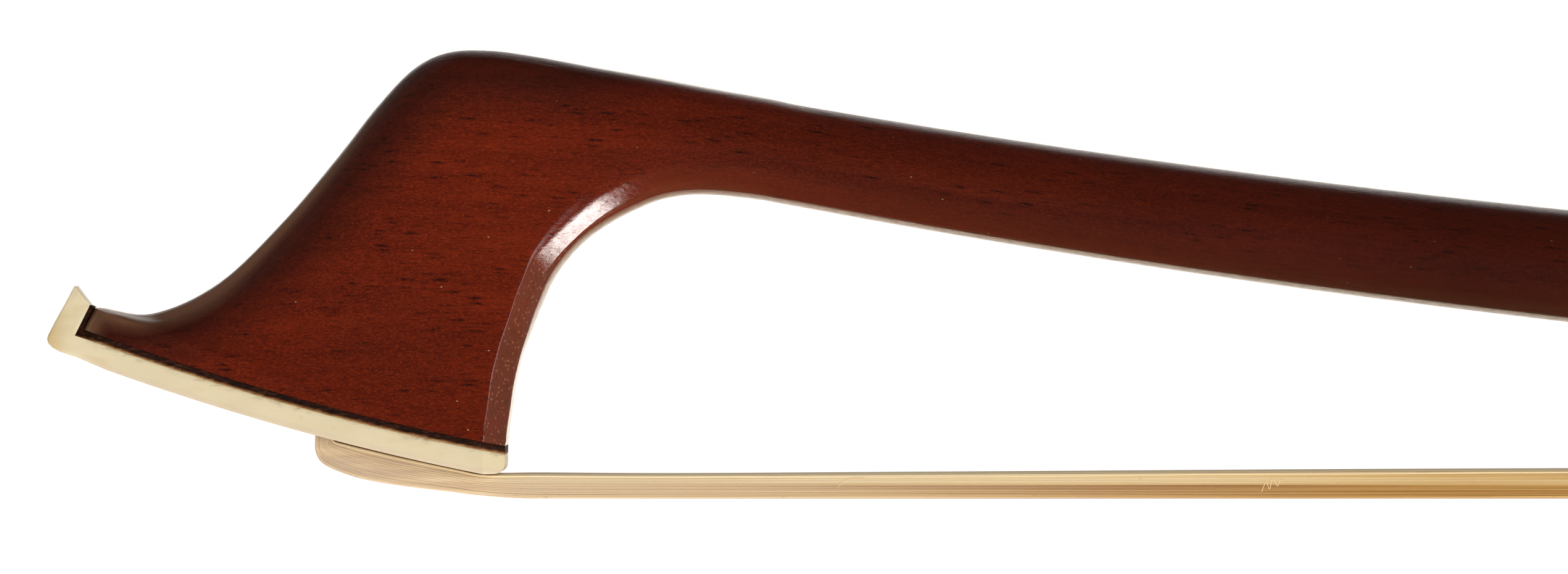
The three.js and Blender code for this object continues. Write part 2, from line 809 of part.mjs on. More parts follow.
function hairRun() {
  const run_x = head_length + hair_swell_length;
  const lift = (ferrule_hair_z * hair_swell_length) / (frog_front_x - head_length);
  const upper = ferrule_hair_z + hair_ferrule_thickness;
  const xs = [frog_front_x - ferrule_length, frog_front_x + spread_wedge_length];
  return [
    levelRow(run_x, lift, lift + hair_run_thickness, hair_tip_width / 2),
    ...xs.map((x) => levelRow(x, ferrule_hair_z, upper, hair_ferrule_width / 2)),
  ];
}

// From the slide up round a fold to the knot at the top of the frog's mortise.
function frogHairKnot() {
  const half = frog_mouth_half;
  const fold = at(frog_fold_x, frog_hair_upper_z + frog_fold_radius);
  const turned = [0, 1, 2].map((k) => {
    const angle = (k * Math.PI) / 4;
    const down = at(Math.sin(angle), -Math.cos(angle));
    return {
      outer: fold.clone().addScaledVector(down, frog_fold_radius + frog_hair_thickness),
      inner: fold.clone().addScaledVector(down, frog_fold_radius),
      half,
    };
  });
  const knotX = [frog_hair_outer_x - knot_shift, frog_hair_inner_x - knot_shift];
  const rows = [
    ...turned,
    uprightRow(frog_plug_top_z, frog_hair_outer_x, frog_hair_inner_x, half),
    uprightRow(frog_knot_foot_z, ...knotX, knot_width / 2),
    uprightRow(frog_knot_z, ...knotX, knot_width / 2),
  ];
  return ribbon(rows, hair_edge_bevel);
}

function hairHank() {
  const xs = [frog_shoulder_x, frog_fold_x - glue_gap];
  const overSlide = xs.map((x) => levelRow(x, frog_hair_z, frog_hair_upper_z, frog_mouth_half));
  return ribbon([...hairAtHead(), ...hairRun(), ...overSlide], hair_edge_bevel);
}

// Grip and winding

function around(xs, inside, outside) {
  return sleeve(
    xs.map((x) => stickRing(x, outside)),
    xs.map((x) => stickRing(x, inside)),
  );
}

function thumbLeather() {
  const blend_end = octagon_start_x + octagon_blend_length;
  const xs = [leather_start_x, octagon_start_x, blend_end, leather_end_x];
  return around(xs, grip_clearance, grip_clearance + leather_thickness);
}

const strip_inner = 2 * grip_clearance + lapping_sleeve_thickness;
const lapping_pitch = (lapping_length - 2 * lapping_strip_width) / lapping_turns;

function lappingBase() {
  const xs = stickSteps(lapping_start_x, lapping_end_x);
  return around(xs, grip_clearance, grip_clearance + lapping_sleeve_thickness);
}

function lappingSections() {
  const sections = [];
  for (let i = 0; i <= lapping_turns * lapping_steps; i++) {
    const turns = i / lapping_steps;
    const x = lapping_start_x + lapping_strip_width + lapping_pitch * turns;
    const slope = Math.atan(axisSlope(x));
    const angle = 2 * Math.PI * turns;
    const outward = new THREE.Vector3(
      Math.cos(angle) * Math.sin(slope),
      Math.sin(angle),
      -Math.cos(angle) * Math.cos(slope),
    );
    const along = at(Math.cos(slope), Math.sin(slope)).multiplyScalar(lapping_strip_width / 2);
    const radius = (stickDiameter(x) / 2 + strip_inner) / Math.cos(Math.PI / lapping_steps);
    const near = at(x, axisHeight(x)).addScaledVector(outward, radius);
    const far = near.clone().addScaledVector(outward, lapping_strip_thickness);
    sections.push([
      near.clone().sub(along),
      far.clone().sub(along),
      far.clone().add(along),
      near.clone().add(along),
    ]);
  }
  return sections;
}

function leastGap(sections) {
  let least = Infinity;
  const apart = Math.ceil(lapping_steps / 2);
  const nearby = 2 * lapping_steps;
  sections.forEach((section, i) => {
    for (const other of sections.slice(i + apart, i + nearby))
      for (const p of section) for (const q of other) least = Math.min(least, p.distanceTo(q));
  });
  return least;
}

function lappingStrip() {
  const sections = lappingSections();
  console.log("least gap of the winding to itself, mm:", leastGap(sections).toFixed(2));
  return loft(sections);
}

// Frog

// Half the frog's width at a height: wide below, a slight waist, and the top's width above.
function frogHalf(z) {
  const top = axisHeight(frog_heel_x) - frog_edge_drop;
  const way = THREE.MathUtils.clamp((z - frog_lift) / (top - frog_lift), 0, 1);
  const straight = THREE.MathUtils.lerp(frog_base_width, frog_top_width, way) / 2;
  return straight - frog_waist * Math.sin(Math.PI * way);
}

function frogEndView() {
  const top = axisHeight(frog_heel_x) + overrun;
  const points = [];
  for (let i = 0; i <= throat_steps; i++) {
    const z = THREE.MathUtils.lerp(frog_lift, axisHeight(frog_heel_x) - frog_edge_drop, i / throat_steps);
    points.push([frogHalf(z), z]);
  }
  return bothSides([[0, frog_lift], ...points, [points.at(-1)[0], top], [0, top]]);
}

function frogSideView() {
  const edge = (x) => axisHeight(x) - frog_edge_drop;
  const lip = axisHeight(frog_tip_x) - handle_across_flats / 2 - channel_offset - frog_lip_height;
  const curve = new THREE.QuadraticBezierCurve(
    new THREE.Vector2(frog_tip_x, lip),
    new THREE.Vector2(frog_tip_x + throat_bite, (lip + ferrule_height) / 2),
    new THREE.Vector2(frog_shoulder_x, ferrule_height),
  );
  const throat = curve.getPoints(throat_steps).map((p) => [p.x, p.y]);
  return [
    [frog_heel_x, edge(frog_heel_x)],
    [frog_tip_x, edge(frog_tip_x)],
    ...throat,
    [frog_shoulder_x, frog_lift],
    [frog_heel_x, frog_lift],
  ];
}

function ferruleOutline(inset) {
  const half = frog_base_width / 2 - inset;
  const points = [
    [0, inset],
    [half - (ferrule_corner - inset), inset],
  ];
  for (let i = 0; i <= ferrule_steps / 2; i++) {
    const angle = (Math.PI * i) / ferrule_steps;
    const y = i === ferrule_steps / 2 ? 0 : half * Math.cos(angle);
    points.push([y, ferrule_corner + (ferrule_height - inset - ferrule_corner) * Math.sin(angle)]);
  }
  return bothSides(points);
}

function ferrule() {
  const inside = prism(ferruleOutline(ferrule_wall), frog_front_x - overrun, frog_shoulder_x + overrun);
  return cut(prism(ferruleOutline(0), frog_front_x, frog_front_x + ferrule_length), solid(inside));
}

function slideView(z0, z1, grow) {
  const height = slide_top_z - frog_lift;
  const half = (z) => slide_width / 2 + (slide_dovetail * (z - frog_lift)) / height + grow;
  return bothSides([
    [0, z0],
    [half(z0), z0],
    [half(z1), z1],
    [0, z1],
  ]);
}

const heel_front_x = frog_heel_x - heel_plate_length;
const slide_x = [frog_shoulder_x + seat_gap, heel_front_x - seat_gap];
const eye_x = frog_front_x + frog_length / 2 + eyelet_setback;
const eye_z_share = 0.55;
const eye_z = eye_z_share * (axisHeight(eye_x) - handle_across_flats / 2);
const eyelet_x = alongHandle(eye_x);
const screw_bore_radius = screw_diameter / 2 + screw_clearance;
const stem_bottom = -handle_across_flats / 2 - channel_offset - eyelet_stem_length;
const slot_start_x = eyelet_x - eyelet_length / 2 - loosen_travel - slot_end_clearance;
const slot_end_x = eyelet_x + eyelet_length / 2 + tighten_travel + slot_end_clearance;
const slot_width = eyelet_diameter + 2 * eyelet_clearance;
const back_plate_z = [frog_lift + heel_plate_thickness + seat_gap, frog_lift + back_plate_height];
const back_plate_x = frog_heel_x - back_plate_thickness;
const pin_x = { front: alongHandle(frog_tip_x) + underslide_pin_inset };
pin_x.rear = alongHandle(frog_heel_x) - underslide_end_gap - underslide_pin_inset;
const back_pin_shares = { lower: 0.25, upper: 0.8 };
const heel_pin_share = 0.25;
const heel_pin_x = heel_front_x + heel_pin_share * heel_plate_length;

function backPinHeight(place) {
  return THREE.MathUtils.lerp(...back_plate_z, back_pin_shares[place]);
}

function eyeDisc(radius, y0, y1) {
  return rodAlongY(radius, y0, y1, bore_sides).translate(eye_x, 0, eye_z);
}

function underslidePin(x, grow) {
  const top = -handle_across_flats / 2 - running_gap - glue_gap;
  const radius = underslide_pin_diameter / 2 + grow;
  return rodAlongZ(radius, top - underslide_pin_length - grow, top + grow, pin_sides).translate(x, 0, 0);
}

function backPin(place, grow) {
  const radius = plate_pin_diameter / 2 + grow;
  const start = frog_heel_x - plate_pin_length - grow;
  return rodAlongX(radius, start, frog_heel_x + grow, pin_sides).translate(0, 0, backPinHeight(place));
}

function heelPin(grow) {
  const radius = plate_pin_diameter / 2 + grow;
  const top = frog_lift + plate_pin_length + grow;
  return rodAlongZ(radius, frog_lift - grow, top, pin_sides).translate(heel_pin_x, 0, 0);
}

function eyeletStem(grow) {
  const radius = eyelet_stem_diameter / 2 + grow;
  const top = -(screw_bore_radius + eyelet_diameter / 2) / 2;
  return rodAlongZ(radius, stem_bottom - grow, top, bore_sides).translate(eyelet_x, 0, 0);
}

function frogTongue() {
  const outline = prism(
    ferruleOutline(ferrule_wall + tongue_clearance),
    frog_front_x + spread_wedge_inset,
    frog_shoulder_x + overrun,
  );
  const x = [frog_front_x, frog_shoulder_x + 2 * overrun];
  const above = block(x, [-frog_base_width, frog_base_width], [tongue_z, ferrule_height + overrun]);
  return solid(outline).intersect(solid(above));
}

function acrossFrog(x, z) {
  return solid(block(x, [-frog_base_width, frog_base_width], z));
}

function frogSection(x0, x1) {
  return solid(prism(frogEndView(), x0, x1));
}

function slideRoom() {
  const outline = slideView(frog_lift - overrun, slide_top_z + slide_clearance, slide_clearance);
  return solid(prism(outline, frog_front_x, heel_front_x));
}

function hairRoom() {
  const wide = hair_ferrule_width / 2;
  const narrow = frog_mortise_width / 2;
  const groove = [slide_top_z, groove_top_z];
  const front_x = frog_front_x + spread_wedge_length + overrun;
  return [
    block([front_x, frog_shoulder_x + seat_gap], [-wide, wide], groove),
    block([frog_shoulder_x, frog_mortise_rear_x], [-narrow, narrow], groove),
    block([frog_mortise_front_x, frog_mortise_rear_x], [-narrow, narrow], [slide_top_z, frog_mortise_top_z]),
  ].map((room) => solid(room));
}

function heelRoom() {
  const below = frog_lift - overrun;
  const end = frog_heel_x + overrun;
  return [
    acrossFrog([heel_front_x - seat_gap, end], [below, frog_lift + heel_plate_thickness + seat_gap]),
    acrossFrog([back_plate_x - seat_gap, end], [below, back_plate_z[1] + seat_gap]),
  ];
}

function frogBody() {
  const outline = solid(plank(frogSideView(), 2 * frog_base_width));
  const channel = prism(
    octagon(handle_across_flats + 2 * channel_offset),
    alongHandle(frog_front_x - ferrule_length),
    alongHandle(frog_heel_x + ferrule_length),
  );
  const eye = eye_ring_diameter / 2 + eye_inlay_gap;
  const face = frogHalf(eye_z);
  const tools = [
    onHandle(channel),
    onHandle(eyeletStem(pin_clearance)),
    ...Object.values(pin_x).map((x) => onHandle(underslidePin(x, pin_clearance))),
    slideRoom(),
    ...hairRoom(),
    ...heelRoom(),
    ...Object.keys(back_pin_shares).map((place) => solid(backPin(place, pin_clearance))),
    solid(heelPin(pin_clearance)),
    solid(eyeDisc(eye, face - eye_depth, frog_base_width)),
    solid(eyeDisc(eye, -frog_base_width, eye_depth - face)),
  ];
  const whole = outline.intersect(frogSection(frog_front_x, frog_heel_x + overrun)).add(frogTongue());
  return tools.reduce((body, tool) => body.subtract(tool), whole);
}

function underslide() {
  const inner = handle_across_flats / 2 + running_gap;
  const outer = inner + underslide_thickness;
  const edge = (radius) => radius * (1 + octagon_tangent) - underslide_edge_drop;
  const right = [
    [inner * octagon_tangent, -inner],
    [edge(inner), -underslide_edge_drop],
    [edge(outer), -underslide_edge_drop],
    [outer * octagon_tangent, -outer],
  ];
  const left = right.map(([y, w]) => [-y, w]);
  const outline = [left[3], left[2], left[1], left[0], ...right];
  const start = alongHandle(frog_tip_x) + underslide_end_gap / 2;
  const body = prism(outline, start, alongHandle(frog_heel_x) - underslide_end_gap);
  return cut(
    body,
    solid(eyeletStem(eyelet_clearance)),
    solid(underslidePin(pin_x.front, pin_clearance)),
    solid(underslidePin(pin_x.rear, pin_clearance)),
  );
}

function spreadWedge() {
  const half = hair_ferrule_width / 2 - hair_edge_bevel;
  const x = [frog_front_x + spread_wedge_inset, frog_front_x + spread_wedge_length];
  return block(x, [-half, half], [spread_wedge_z, spread_wedge_z + spread_wedge_thickness]);
}

function frogPlug() {
  const half = frog_mortise_width / 2 - wedge_clearance;
  const x = [frog_mortise_front_x + wedge_clearance, frog_hair_inner_x - 2 * wedge_clearance];
  return block(x, [-half, half], [groove_top_z, frog_plug_top_z]);
}

function heelPlate() {
  const level = acrossFrog([heel_front_x, frog_heel_x], [frog_lift, frog_lift + heel_plate_thickness]);
  return frogSection(heel_front_x, frog_heel_x).intersect(level).subtract(solid(heelPin(pin_clearance)));
}

function backPlate() {
  const upright = acrossFrog([back_plate_x, frog_heel_x], back_plate_z);
  const holes = Object.keys(back_pin_shares).map((place) => solid(backPin(place, pin_clearance)));
  const plate = frogSection(back_plate_x, frog_heel_x).intersect(upright);
  return holes.reduce((left, hole) => left.subtract(hole), plate);
}

function inlay(radius, side) {
  const face = frogHalf(eye_z);
  const inner = face - eye_depth + eye_inlay_gap;
  return side > 0 ? eyeDisc(radius, inner, face) : eyeDisc(radius, -face, -inner);
}

function eyeRing(side) {
  const hole = eyeDisc(eye_ring_bore / 2, -frog_base_width, frog_base_width);
  return cut(inlay(eye_ring_diameter / 2, side), solid(hole));
}

function eyelet() {
  const head = rodAlongX(
    eyelet_diameter / 2, eyelet_x - eyelet_length / 2, eyelet_x + eyelet_length / 2, bore_sides,
  );
  const bore = rodAlongX(
    screw_bore_radius, eyelet_x - eyelet_length, eyelet_x + eyelet_length, bore_sides,
  );
  return solid(head).add(solid(eyeletStem(0))).subtract(solid(bore));
}

// Stick

const handle_end_x = alongHandle(stick_end_x);
const screw_start_x = slot_start_x - screw_nose_length;
const spigot_radius = button_spigot_diameter / 2;
const ring_bore_radius = spigot_radius + seat_gap;
const nipple_length = button_gap + button_ring_length - button_spigot_length - nipple_end_clearance;

function stick() {
  const rings = [
    ...headRings(),
    ...stickSteps(head_length, octagon_start_x).map((x) => stickRing(x, 0)),
    stickRing(octagon_start_x + octagon_blend_length, 0),
    stickRing(stick_end_x, 0),
  ];
  const nipple_end_x = handle_end_x + nipple_length;
  const nipple_radius = ring_bore_radius - nipple_clearance;
  const nipple = rodAlongX(nipple_radius, handle_end_x - overrun, nipple_end_x, bore_sides);
  const bore = rodAlongX(screw_bore_radius, screw_start_x - seat_gap, nipple_end_x + overrun, bore_sides);
  const slot = block(
    [slot_start_x, slot_end_x],
    [-slot_width / 2, slot_width / 2],
    [-handle_across_flats, eyelet_diameter / 2 + slot_roof],
  );
  return solid(loft(rings))
    .add(onHandle(nipple))
    .subtract(onHandle(bore))
    .subtract(onHandle(slot))
    .subtract(headMortise);
}

// Screw and button

const button_x = handle_end_x + button_gap;
const button_end_x = button_x + button_length;
const cap_x = button_end_x - button_cap_length;
const screw_end_x = button_end_x - button_screw_cover - button_eye_thickness;

function threadedRadius(x, turn) {
  const full = screw_diameter / 2;
  if (x < slot_start_x || x > slot_end_x) return full;
  const phase = (((x / screw_pitch - turn) % 1) + 1) % 1;
  return full - thread_depth * Math.abs(2 * phase - 1);
}

function threadedRing(x) {
  const half = Array.from({ length: thread_sides / 2 + 1 }, (_, k) => k / thread_sides);
  const turns = [...half, ...half.slice(1, -1).reverse().map((turn) => 1 - turn)];
  return turns.map((turn) => {
    const radius = threadedRadius(x, turn);
    const angle = 2 * Math.PI * turn;
    return new THREE.Vector3(x, radius * Math.sin(angle), -radius * Math.cos(angle));
  });
}

function screw() {
  const count = Math.ceil(((slot_end_x - slot_start_x) * thread_steps) / screw_pitch);
  const xs = [screw_start_x, slot_start_x - thread_end_length];
  for (let i = 1; i < count; i++) xs.push(THREE.MathUtils.lerp(slot_start_x, slot_end_x, i / count));
  xs.push(slot_end_x + thread_end_length, screw_end_x);
  return loft(xs.map(threadedRing));
}

function buttonRing(x0, x1) {
  const bore = rodAlongX(ring_bore_radius, x0 - overrun, x1 + overrun, bore_sides);
  return cut(prism(octagon(button_across_flats), x0, x1), solid(bore), ...buttonPinHoles());
}

function buttonPin(x, grow) {
  const top = button_across_flats / 2 + grow;
  const radius = plate_pin_diameter / 2 + grow;
  return rodAlongZ(radius, top - button_pin_length - 2 * grow, top, pin_sides).translate(x, 0, 0);
}

const button_pin_x = {
  front: button_x + button_ring_length - button_spigot_length / 2,
  rear: cap_x + button_cap_length / 2 - button_eye_thickness,
};

function buttonPinHoles() {
  return Object.values(button_pin_x).map((x) => solid(buttonPin(x, pin_clearance)));
}

function buttonCore() {
  const core_x = [button_x + button_ring_length + glue_gap, cap_x - glue_gap];
  const body = prism(octagon(button_across_flats - 2 * button_waist), ...core_x);
  const spigot = rodAlongX(
    spigot_radius,
    button_x + button_ring_length - button_spigot_length,
    button_end_x - button_eye_thickness - seat_gap,
    bore_sides,
  );
  const bore = rodAlongX(
    screw_diameter / 2 + pin_clearance,
    button_x - overrun,
    screw_end_x + pin_clearance,
    bore_sides,
  );
  const whole = solid(body).add(solid(spigot)).subtract(solid(bore));
  return buttonPinHoles().reduce((left, hole) => left.subtract(hole), whole);
}

// Points of the eye's low dome, as shares of its radius and of its thickness.
const button_eye_shares = [
  [0, 0],
  [1, 0],
  [1, 0.5],
  [0.5, 0.85],
  [0, 1],
];

function buttonEye() {
  const outline = button_eye_shares.map(
    ([r, h]) => new THREE.Vector2(r * spigot_radius, h * button_eye_thickness),
  );
  const geometry = new THREE.LatheGeometry(outline, bore_sides);
  return geometry.rotateZ(-Math.PI / 2).translate(button_end_x - button_eye_thickness, 0, 0);
}

// The bow

add(bow, "stick", stick(), materials.pernambuco);
add(bow, "head_lining", headLining(), materials.ebony);
add(bow, "head_plate", headPlate(), materials.bone);
add(bow, "head_plug", headPlug(), materials.plug_wood);
add(bow, "tip_hair_knot", tipHairKnot(), materials.hair);
const tipKnot = knotThread(tip_mouth_x.map((x) => x + knot_shift), tip_knot_top_z);
add(bow, "tip_knot_thread", tipKnot, materials.thread);
add(bow, "hair_hank", hairHank(), materials.hair);
add(bow, "thumb_leather", thumbLeather(), materials.leather);
add(bow, "lapping_base", lappingBase(), materials.pale_winding);
add(bow, "lapping_strip", lappingStrip(), materials.dark_winding);

const frog = new THREE.Group();
bow.add(frog);
add(frog, "frog_body", frogBody(), materials.ebony);
add(frog, "ferrule", ferrule(), materials.silver);
add(frog, "spread_wedge", spreadWedge(), materials.plug_wood);
add(frog, "frog_plug", frogPlug(), materials.plug_wood);
add(frog, "frog_hair_knot", frogHairKnot(), materials.hair);
const frogKnot = knotThread([frog_hair_inner_x - knot_shift, frog_hair_outer_x - knot_shift], frog_knot_z);
add(frog, "frog_knot_thread", frogKnot, materials.thread);
const pearlTop = frog_lift + slide_pearl_thickness;
add(frog, "slide_pearl", prism(slideView(frog_lift, pearlTop, 0), ...slide_x), materials.pearl);
add(frog, "slide_base", prism(slideView(pearlTop + glue_gap, slide_top_z, 0), ...slide_x), materials.ebony);
add(frog, "heel_plate", heelPlate(), materials.silver);
add(frog, "back_plate", backPlate(), materials.silver);
add(frog, "heel_pin", heelPin(0), materials.silver);
for (const place of Object.keys(back_pin_shares))
  add(frog, `back_pin_${place}`, backPin(place, 0), materials.silver);
for (const [name, side] of [["left", 1], ["right", -1]]) {
  add(frog, `eye_ring_${name}`, eyeRing(side), materials.silver);
  add(frog, `eye_pearl_${name}`, inlay(eye_ring_bore / 2 - eye_inlay_gap, side), materials.pearl);
}

const frogOnHandle = new THREE.Group();
handle.add(frogOnHandle);
add(frogOnHandle, "underslide", underslide(), materials.silver);
add(frogOnHandle, "eyelet", eyelet(), materials.brass);
for (const [place, x] of Object.entries(pin_x))
  add(frogOnHandle, `underslide_pin_${place}`, underslidePin(x, 0), materials.silver);

const button = new THREE.Group();
handle.add(button);
add(button, "screw", screw(), materials.steel);
add(button, "button_front_ring", buttonRing(button_x, button_x + button_ring_length), materials.silver);
add(button, "button_core", buttonCore(), materials.ebony);
add(button, "button_rear_ring", buttonRing(cap_x, button_end_x), materials.silver);
add(button, "button_eye", buttonEye(), materials.pearl);
for (const [place, x] of Object.entries(button_pin_x))
  add(button, `button_pin_${place}`, buttonPin(x, 0), materials.silver);

// The bow's middle goes to x = 0, measured from end to end.
bow.updateMatrixWorld(true);
const ends = new THREE.Box3().setFromObject(bow);
const whole = new THREE.Group();
bow.position.x = -(ends.min.x + ends.max.x) / 2;
whole.add(bow);

export default whole;
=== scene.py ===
import json
import random
from math import atan, ceil, copysign, cos, exp, pi, radians, sin, sqrt

import bpy
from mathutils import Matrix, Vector


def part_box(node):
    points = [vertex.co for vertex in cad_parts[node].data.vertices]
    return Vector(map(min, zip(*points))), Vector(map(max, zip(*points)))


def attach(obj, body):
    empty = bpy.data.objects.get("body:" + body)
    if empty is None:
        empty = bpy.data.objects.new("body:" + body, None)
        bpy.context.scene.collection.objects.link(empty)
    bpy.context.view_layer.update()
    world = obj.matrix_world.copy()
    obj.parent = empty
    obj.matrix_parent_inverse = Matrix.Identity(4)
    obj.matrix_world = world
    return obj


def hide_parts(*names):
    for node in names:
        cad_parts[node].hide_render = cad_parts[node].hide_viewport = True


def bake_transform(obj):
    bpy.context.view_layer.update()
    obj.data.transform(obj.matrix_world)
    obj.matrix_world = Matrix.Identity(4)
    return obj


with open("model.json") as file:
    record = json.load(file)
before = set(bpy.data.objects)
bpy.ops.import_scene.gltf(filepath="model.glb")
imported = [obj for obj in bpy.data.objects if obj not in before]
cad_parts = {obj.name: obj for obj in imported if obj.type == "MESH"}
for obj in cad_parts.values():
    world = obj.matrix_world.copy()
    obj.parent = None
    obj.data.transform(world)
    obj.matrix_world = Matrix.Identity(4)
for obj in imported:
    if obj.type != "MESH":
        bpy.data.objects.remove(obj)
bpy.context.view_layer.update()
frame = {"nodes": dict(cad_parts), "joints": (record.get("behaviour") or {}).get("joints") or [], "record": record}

MM = 0.001
ACROSS = Vector((0, 1, 0))

# Places that the frame gives
plate_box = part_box("head_plate")
leather_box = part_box("thumb_leather")
lapping_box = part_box("lapping_base")
ferrule_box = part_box("ferrule")
hair_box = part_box("hair_hank")
slide_joint = next(j for j in frame["joints"] if j["type"] == "slide")
turn_joint = next(j for j in frame["joints"] if j["type"] == "hinge")
handle_x = Vector(slide_joint["axis"]).normalized()
handle_up = Vector((-handle_x.z, 0, handle_x.x))
stick_end = Vector(turn_joint["pos_m"])
nose_x = plate_box[0][0]

# Stick
HANDLE_FLATS = 9.8 * MM
NECK_DIAMETER = 6.44 * MM
NECK_LENGTH = 12 * MM
TAPER_START = 52 * MM
TAPER_LENGTH = 199 * MM
CAMBER_END = 600 * MM
CAMBER_FADE = 136 * MM
CAMBER_FALL = 0.2359
HANDLE_HEIGHT = 21 * MM
OCTAGON_BLEND = 6 * MM
OCTAGON_INSET = 1 * MM
OCTAGON_WEAR = 1.066
SLEEVE_WEAR = 1.075
SHAFT_STEP = 4 * MM
END_ROUNDING = 0.25 * MM
NIPPLE_RADIUS = 3.6 * MM
NIPPLE_LENGTH = 2 * MM

# Bores and slot under the handle
BORE_RADIUS = 1.8 * MM
BORE_LENGTH = 46.5 * MM
SLOT_WIDTH = 5.8 * MM
SLOT_TOP = 3.1 * MM
EYELET_PLACE = 29.5 * MM
SLOT_FRONT = 8.4 * MM
SLOT_REAR = 6.3 * MM

# Head
HEAD_LENGTH = 48.6 * MM
HEAD_HEIGHT = 26.94 * MM
HEAD_WIDTH = 11.8 * MM
NECK_SHARE = 0.7461
CHAMFER_DEPTH = 1.4 * MM
CHAMFER_SIDE = 1.35 * MM
BEVEL_DEPTH = 0.95 * MM
BEVEL_SIDE = 1.6 * MM
NOSE_SHARE = 0.191
CHEEK_CROWN = 0.12 * MM
SOFT_CORNER = 0.8 * MM
SOFT_FROM = 12 * MM
SOFT_FADE = 5 * MM
THROAT_CROWN = 0.4 * MM
THROAT_CROWN_FROM = 7.5 * MM
THROAT_CROWN_FADE = 6 * MM
FLAT_CROWN = 0.3 * MM
FLAT_HALF = 1.9 * MM
FLAT_TURN = 0.9 * MM
FLAT_FADE_FROM = 100 * MM
FLAT_FADE = 60 * MM
NOSE_BEVEL = 1.9 * MM
NOSE_FLAT = 0.8 * MM
NOSE_BEVEL_FROM = 4 * MM
NOSE_BEVEL_TO = 19 * MM
NOSE_BEVEL_FADE = 6 * MM
SEAT_NOSE = 0.0463 * HEAD_LENGTH
SEAT_REAR = 0.601 * HEAD_LENGTH
SEAT_STRAIGHT = 0.674
SEAT_RISE = 0.2747
MORTISE_REAR_WALL = 2.2 * MM
MORTISE_LENGTH = 10.1 * MM
MORTISE_WIDTH = 6.6 * MM
MORTISE_DEPTH = 10.4 * MM

# Looks of the wood: the grain's turn into the head, painted shade along the edges, and the painted reflection on
# the front with its narrower top
GRAIN_TURN = 12 * MM
DARKER_RUN = 200 * MM
EDGE_REACH = 6 * MM
EDGE_END = 30 * MM
SHEEN_FRONT = 23.5 * MM
SHEEN_FADE = 8 * MM
SHEEN_NARROWS_FROM = 10 * MM
SHEEN_NARROWS_BY = 7 * MM
SHEEN_NARROWING = 0.75

# Plate and lining
PLATE_THICKNESS = 1.5 * MM
LINING_THICKNESS = 0.45 * MM
LINING_EDGE = 0.02 * MM
GLUE_GAP = 0.05 * MM
TURN_UP = 0.27 * MM
PLATE_END_RISE = 0.26 * MM
PLATE_EDGE = 0.22 * MM
PLATE_REAR_ROUND = 0.75 * MM
PLATE_REAR_DROP = 0.12 * MM
BEAK_CORNER = 6
BEAK_TIP_SHARE = 0.144
BEAK_END = Vector((0.04 * MM, 0, 0.1 * MM))
# How far the painted shade on the plate's lower edge and beak reaches, and the stains at its top
RIM_LOW = 0.45 * MM
RIM_BEAK = 1.6 * MM
RIM_TOP = 0.4 * MM

# Hair
HAIR_TIP_THICKNESS = 1.46 * MM
HAIR_RUN_THICKNESS = 1.8 * MM
HAIR_FERRULE_THICKNESS = 1.5 * MM
HAIR_TIP_WIDTH = 9 * MM
HAIR_FERRULE_WIDTH = 12 * MM
HAIR_CLEARANCE = 0.1 * MM
HAIR_SWELL = 50 * MM
HAIR_SWELL_FROM = 30 * MM
HAIR_LEVEL = (-8 * MM, 10 * MM, HAIR_SWELL)
MOUTH_GAP = 0.2 * MM
MOUTH_THICKNESS = 1.3 * MM
MOUTH_HEIGHT = 0.8 * MM
MOUTH_HALF = 3.1 * MM
FERRULE_FLOOR = 0.65 * MM
FERRULE_ROOM = 0.6 * MM
FERRULE_FRONT = 3 * MM
FERRULE_REACH = 6 * MM
FROG_HAIR_FLOOR = 1.75 * MM
FROG_HAIR_THICKNESS = 0.9 * MM
FROG_HAIR_HALF = 4.1 * MM
FROG_HAIR_LENGTH = 12 * MM
CORE_EDGE = 0.35 * MM
CORE_INNER_EDGE = 0.2 * MM
KNOT_EDGE = 0.4 * MM
PALE_HAIR_FROM = 20 * MM
PALE_HAIR_FADE = 70 * MM
STRAND_DIAMETER = 0.15 * MM
STRAND_SIDES = 5
FACE_STRANDS = 46
SIDE_STRANDS = 14
LOOSE_RADIUS = 0.025 * MM

# Grip and winding
GRIP_GAP = 0.1 * MM
LEATHER_THICKNESS = 0.9 * MM
LEATHER_EDGE = 0.3 * MM
LEATHER_ENDS = 2 * MM
SLEEVE_TOP = 0.35 * MM
SLEEVE_INSET = 0.75 * MM
STRIP_WIDTH = 1.35 * MM
STRIP_THICKNESS = 0.35 * MM
STRIP_ROUND = 0.12 * MM
STRIP_INSET = 0.25 * MM
STRIP_FLOOR = 0.45 * MM
STRIP_TURNS = 24
STRIP_STEPS = 48

head_base = HAIR_TIP_THICKNESS + HAIR_CLEARANCE
neck_z = head_base + NECK_SHARE * HEAD_HEIGHT
nose_half = NOSE_SHARE * HEAD_WIDTH
seat_length = SEAT_REAR - SEAT_NOSE
lining_depth = LINING_THICKNESS + GLUE_GAP
plate_top_depth = lining_depth + GLUE_GAP
seat_rear_z = head_base + PLATE_THICKNESS + LINING_THICKNESS + 2 * GLUE_GAP - PLATE_END_RISE
octagon_start = leather_box[0][0] - nose_x + OCTAGON_INSET
stick_end_x = stick_end.x - nose_x
mortise_rear = SEAT_REAR - MORTISE_REAR_WALL
mortise_front = mortise_rear - MORTISE_LENGTH


# Curves of the bow

def lerp(a, b, way):
    return a + (b - a) * way


def clamp(value, low=0.0, high=1.0):
    return max(low, min(high, value))


def smooth(way):
    way = clamp(way)
    return way * way * (3 - 2 * way)


def at(x, z, y=0.0):
    """A point at a length from the nose, in the row frame."""
    return Vector((nose_x + x, y, z))


def camber_fall(along):
    return CAMBER_FALL * CAMBER_FADE * (1 - exp(-along / CAMBER_FADE))


camber_length = CAMBER_END - HEAD_LENGTH
camber_rise = (HANDLE_HEIGHT - neck_z + camber_fall(camber_length)) / camber_length


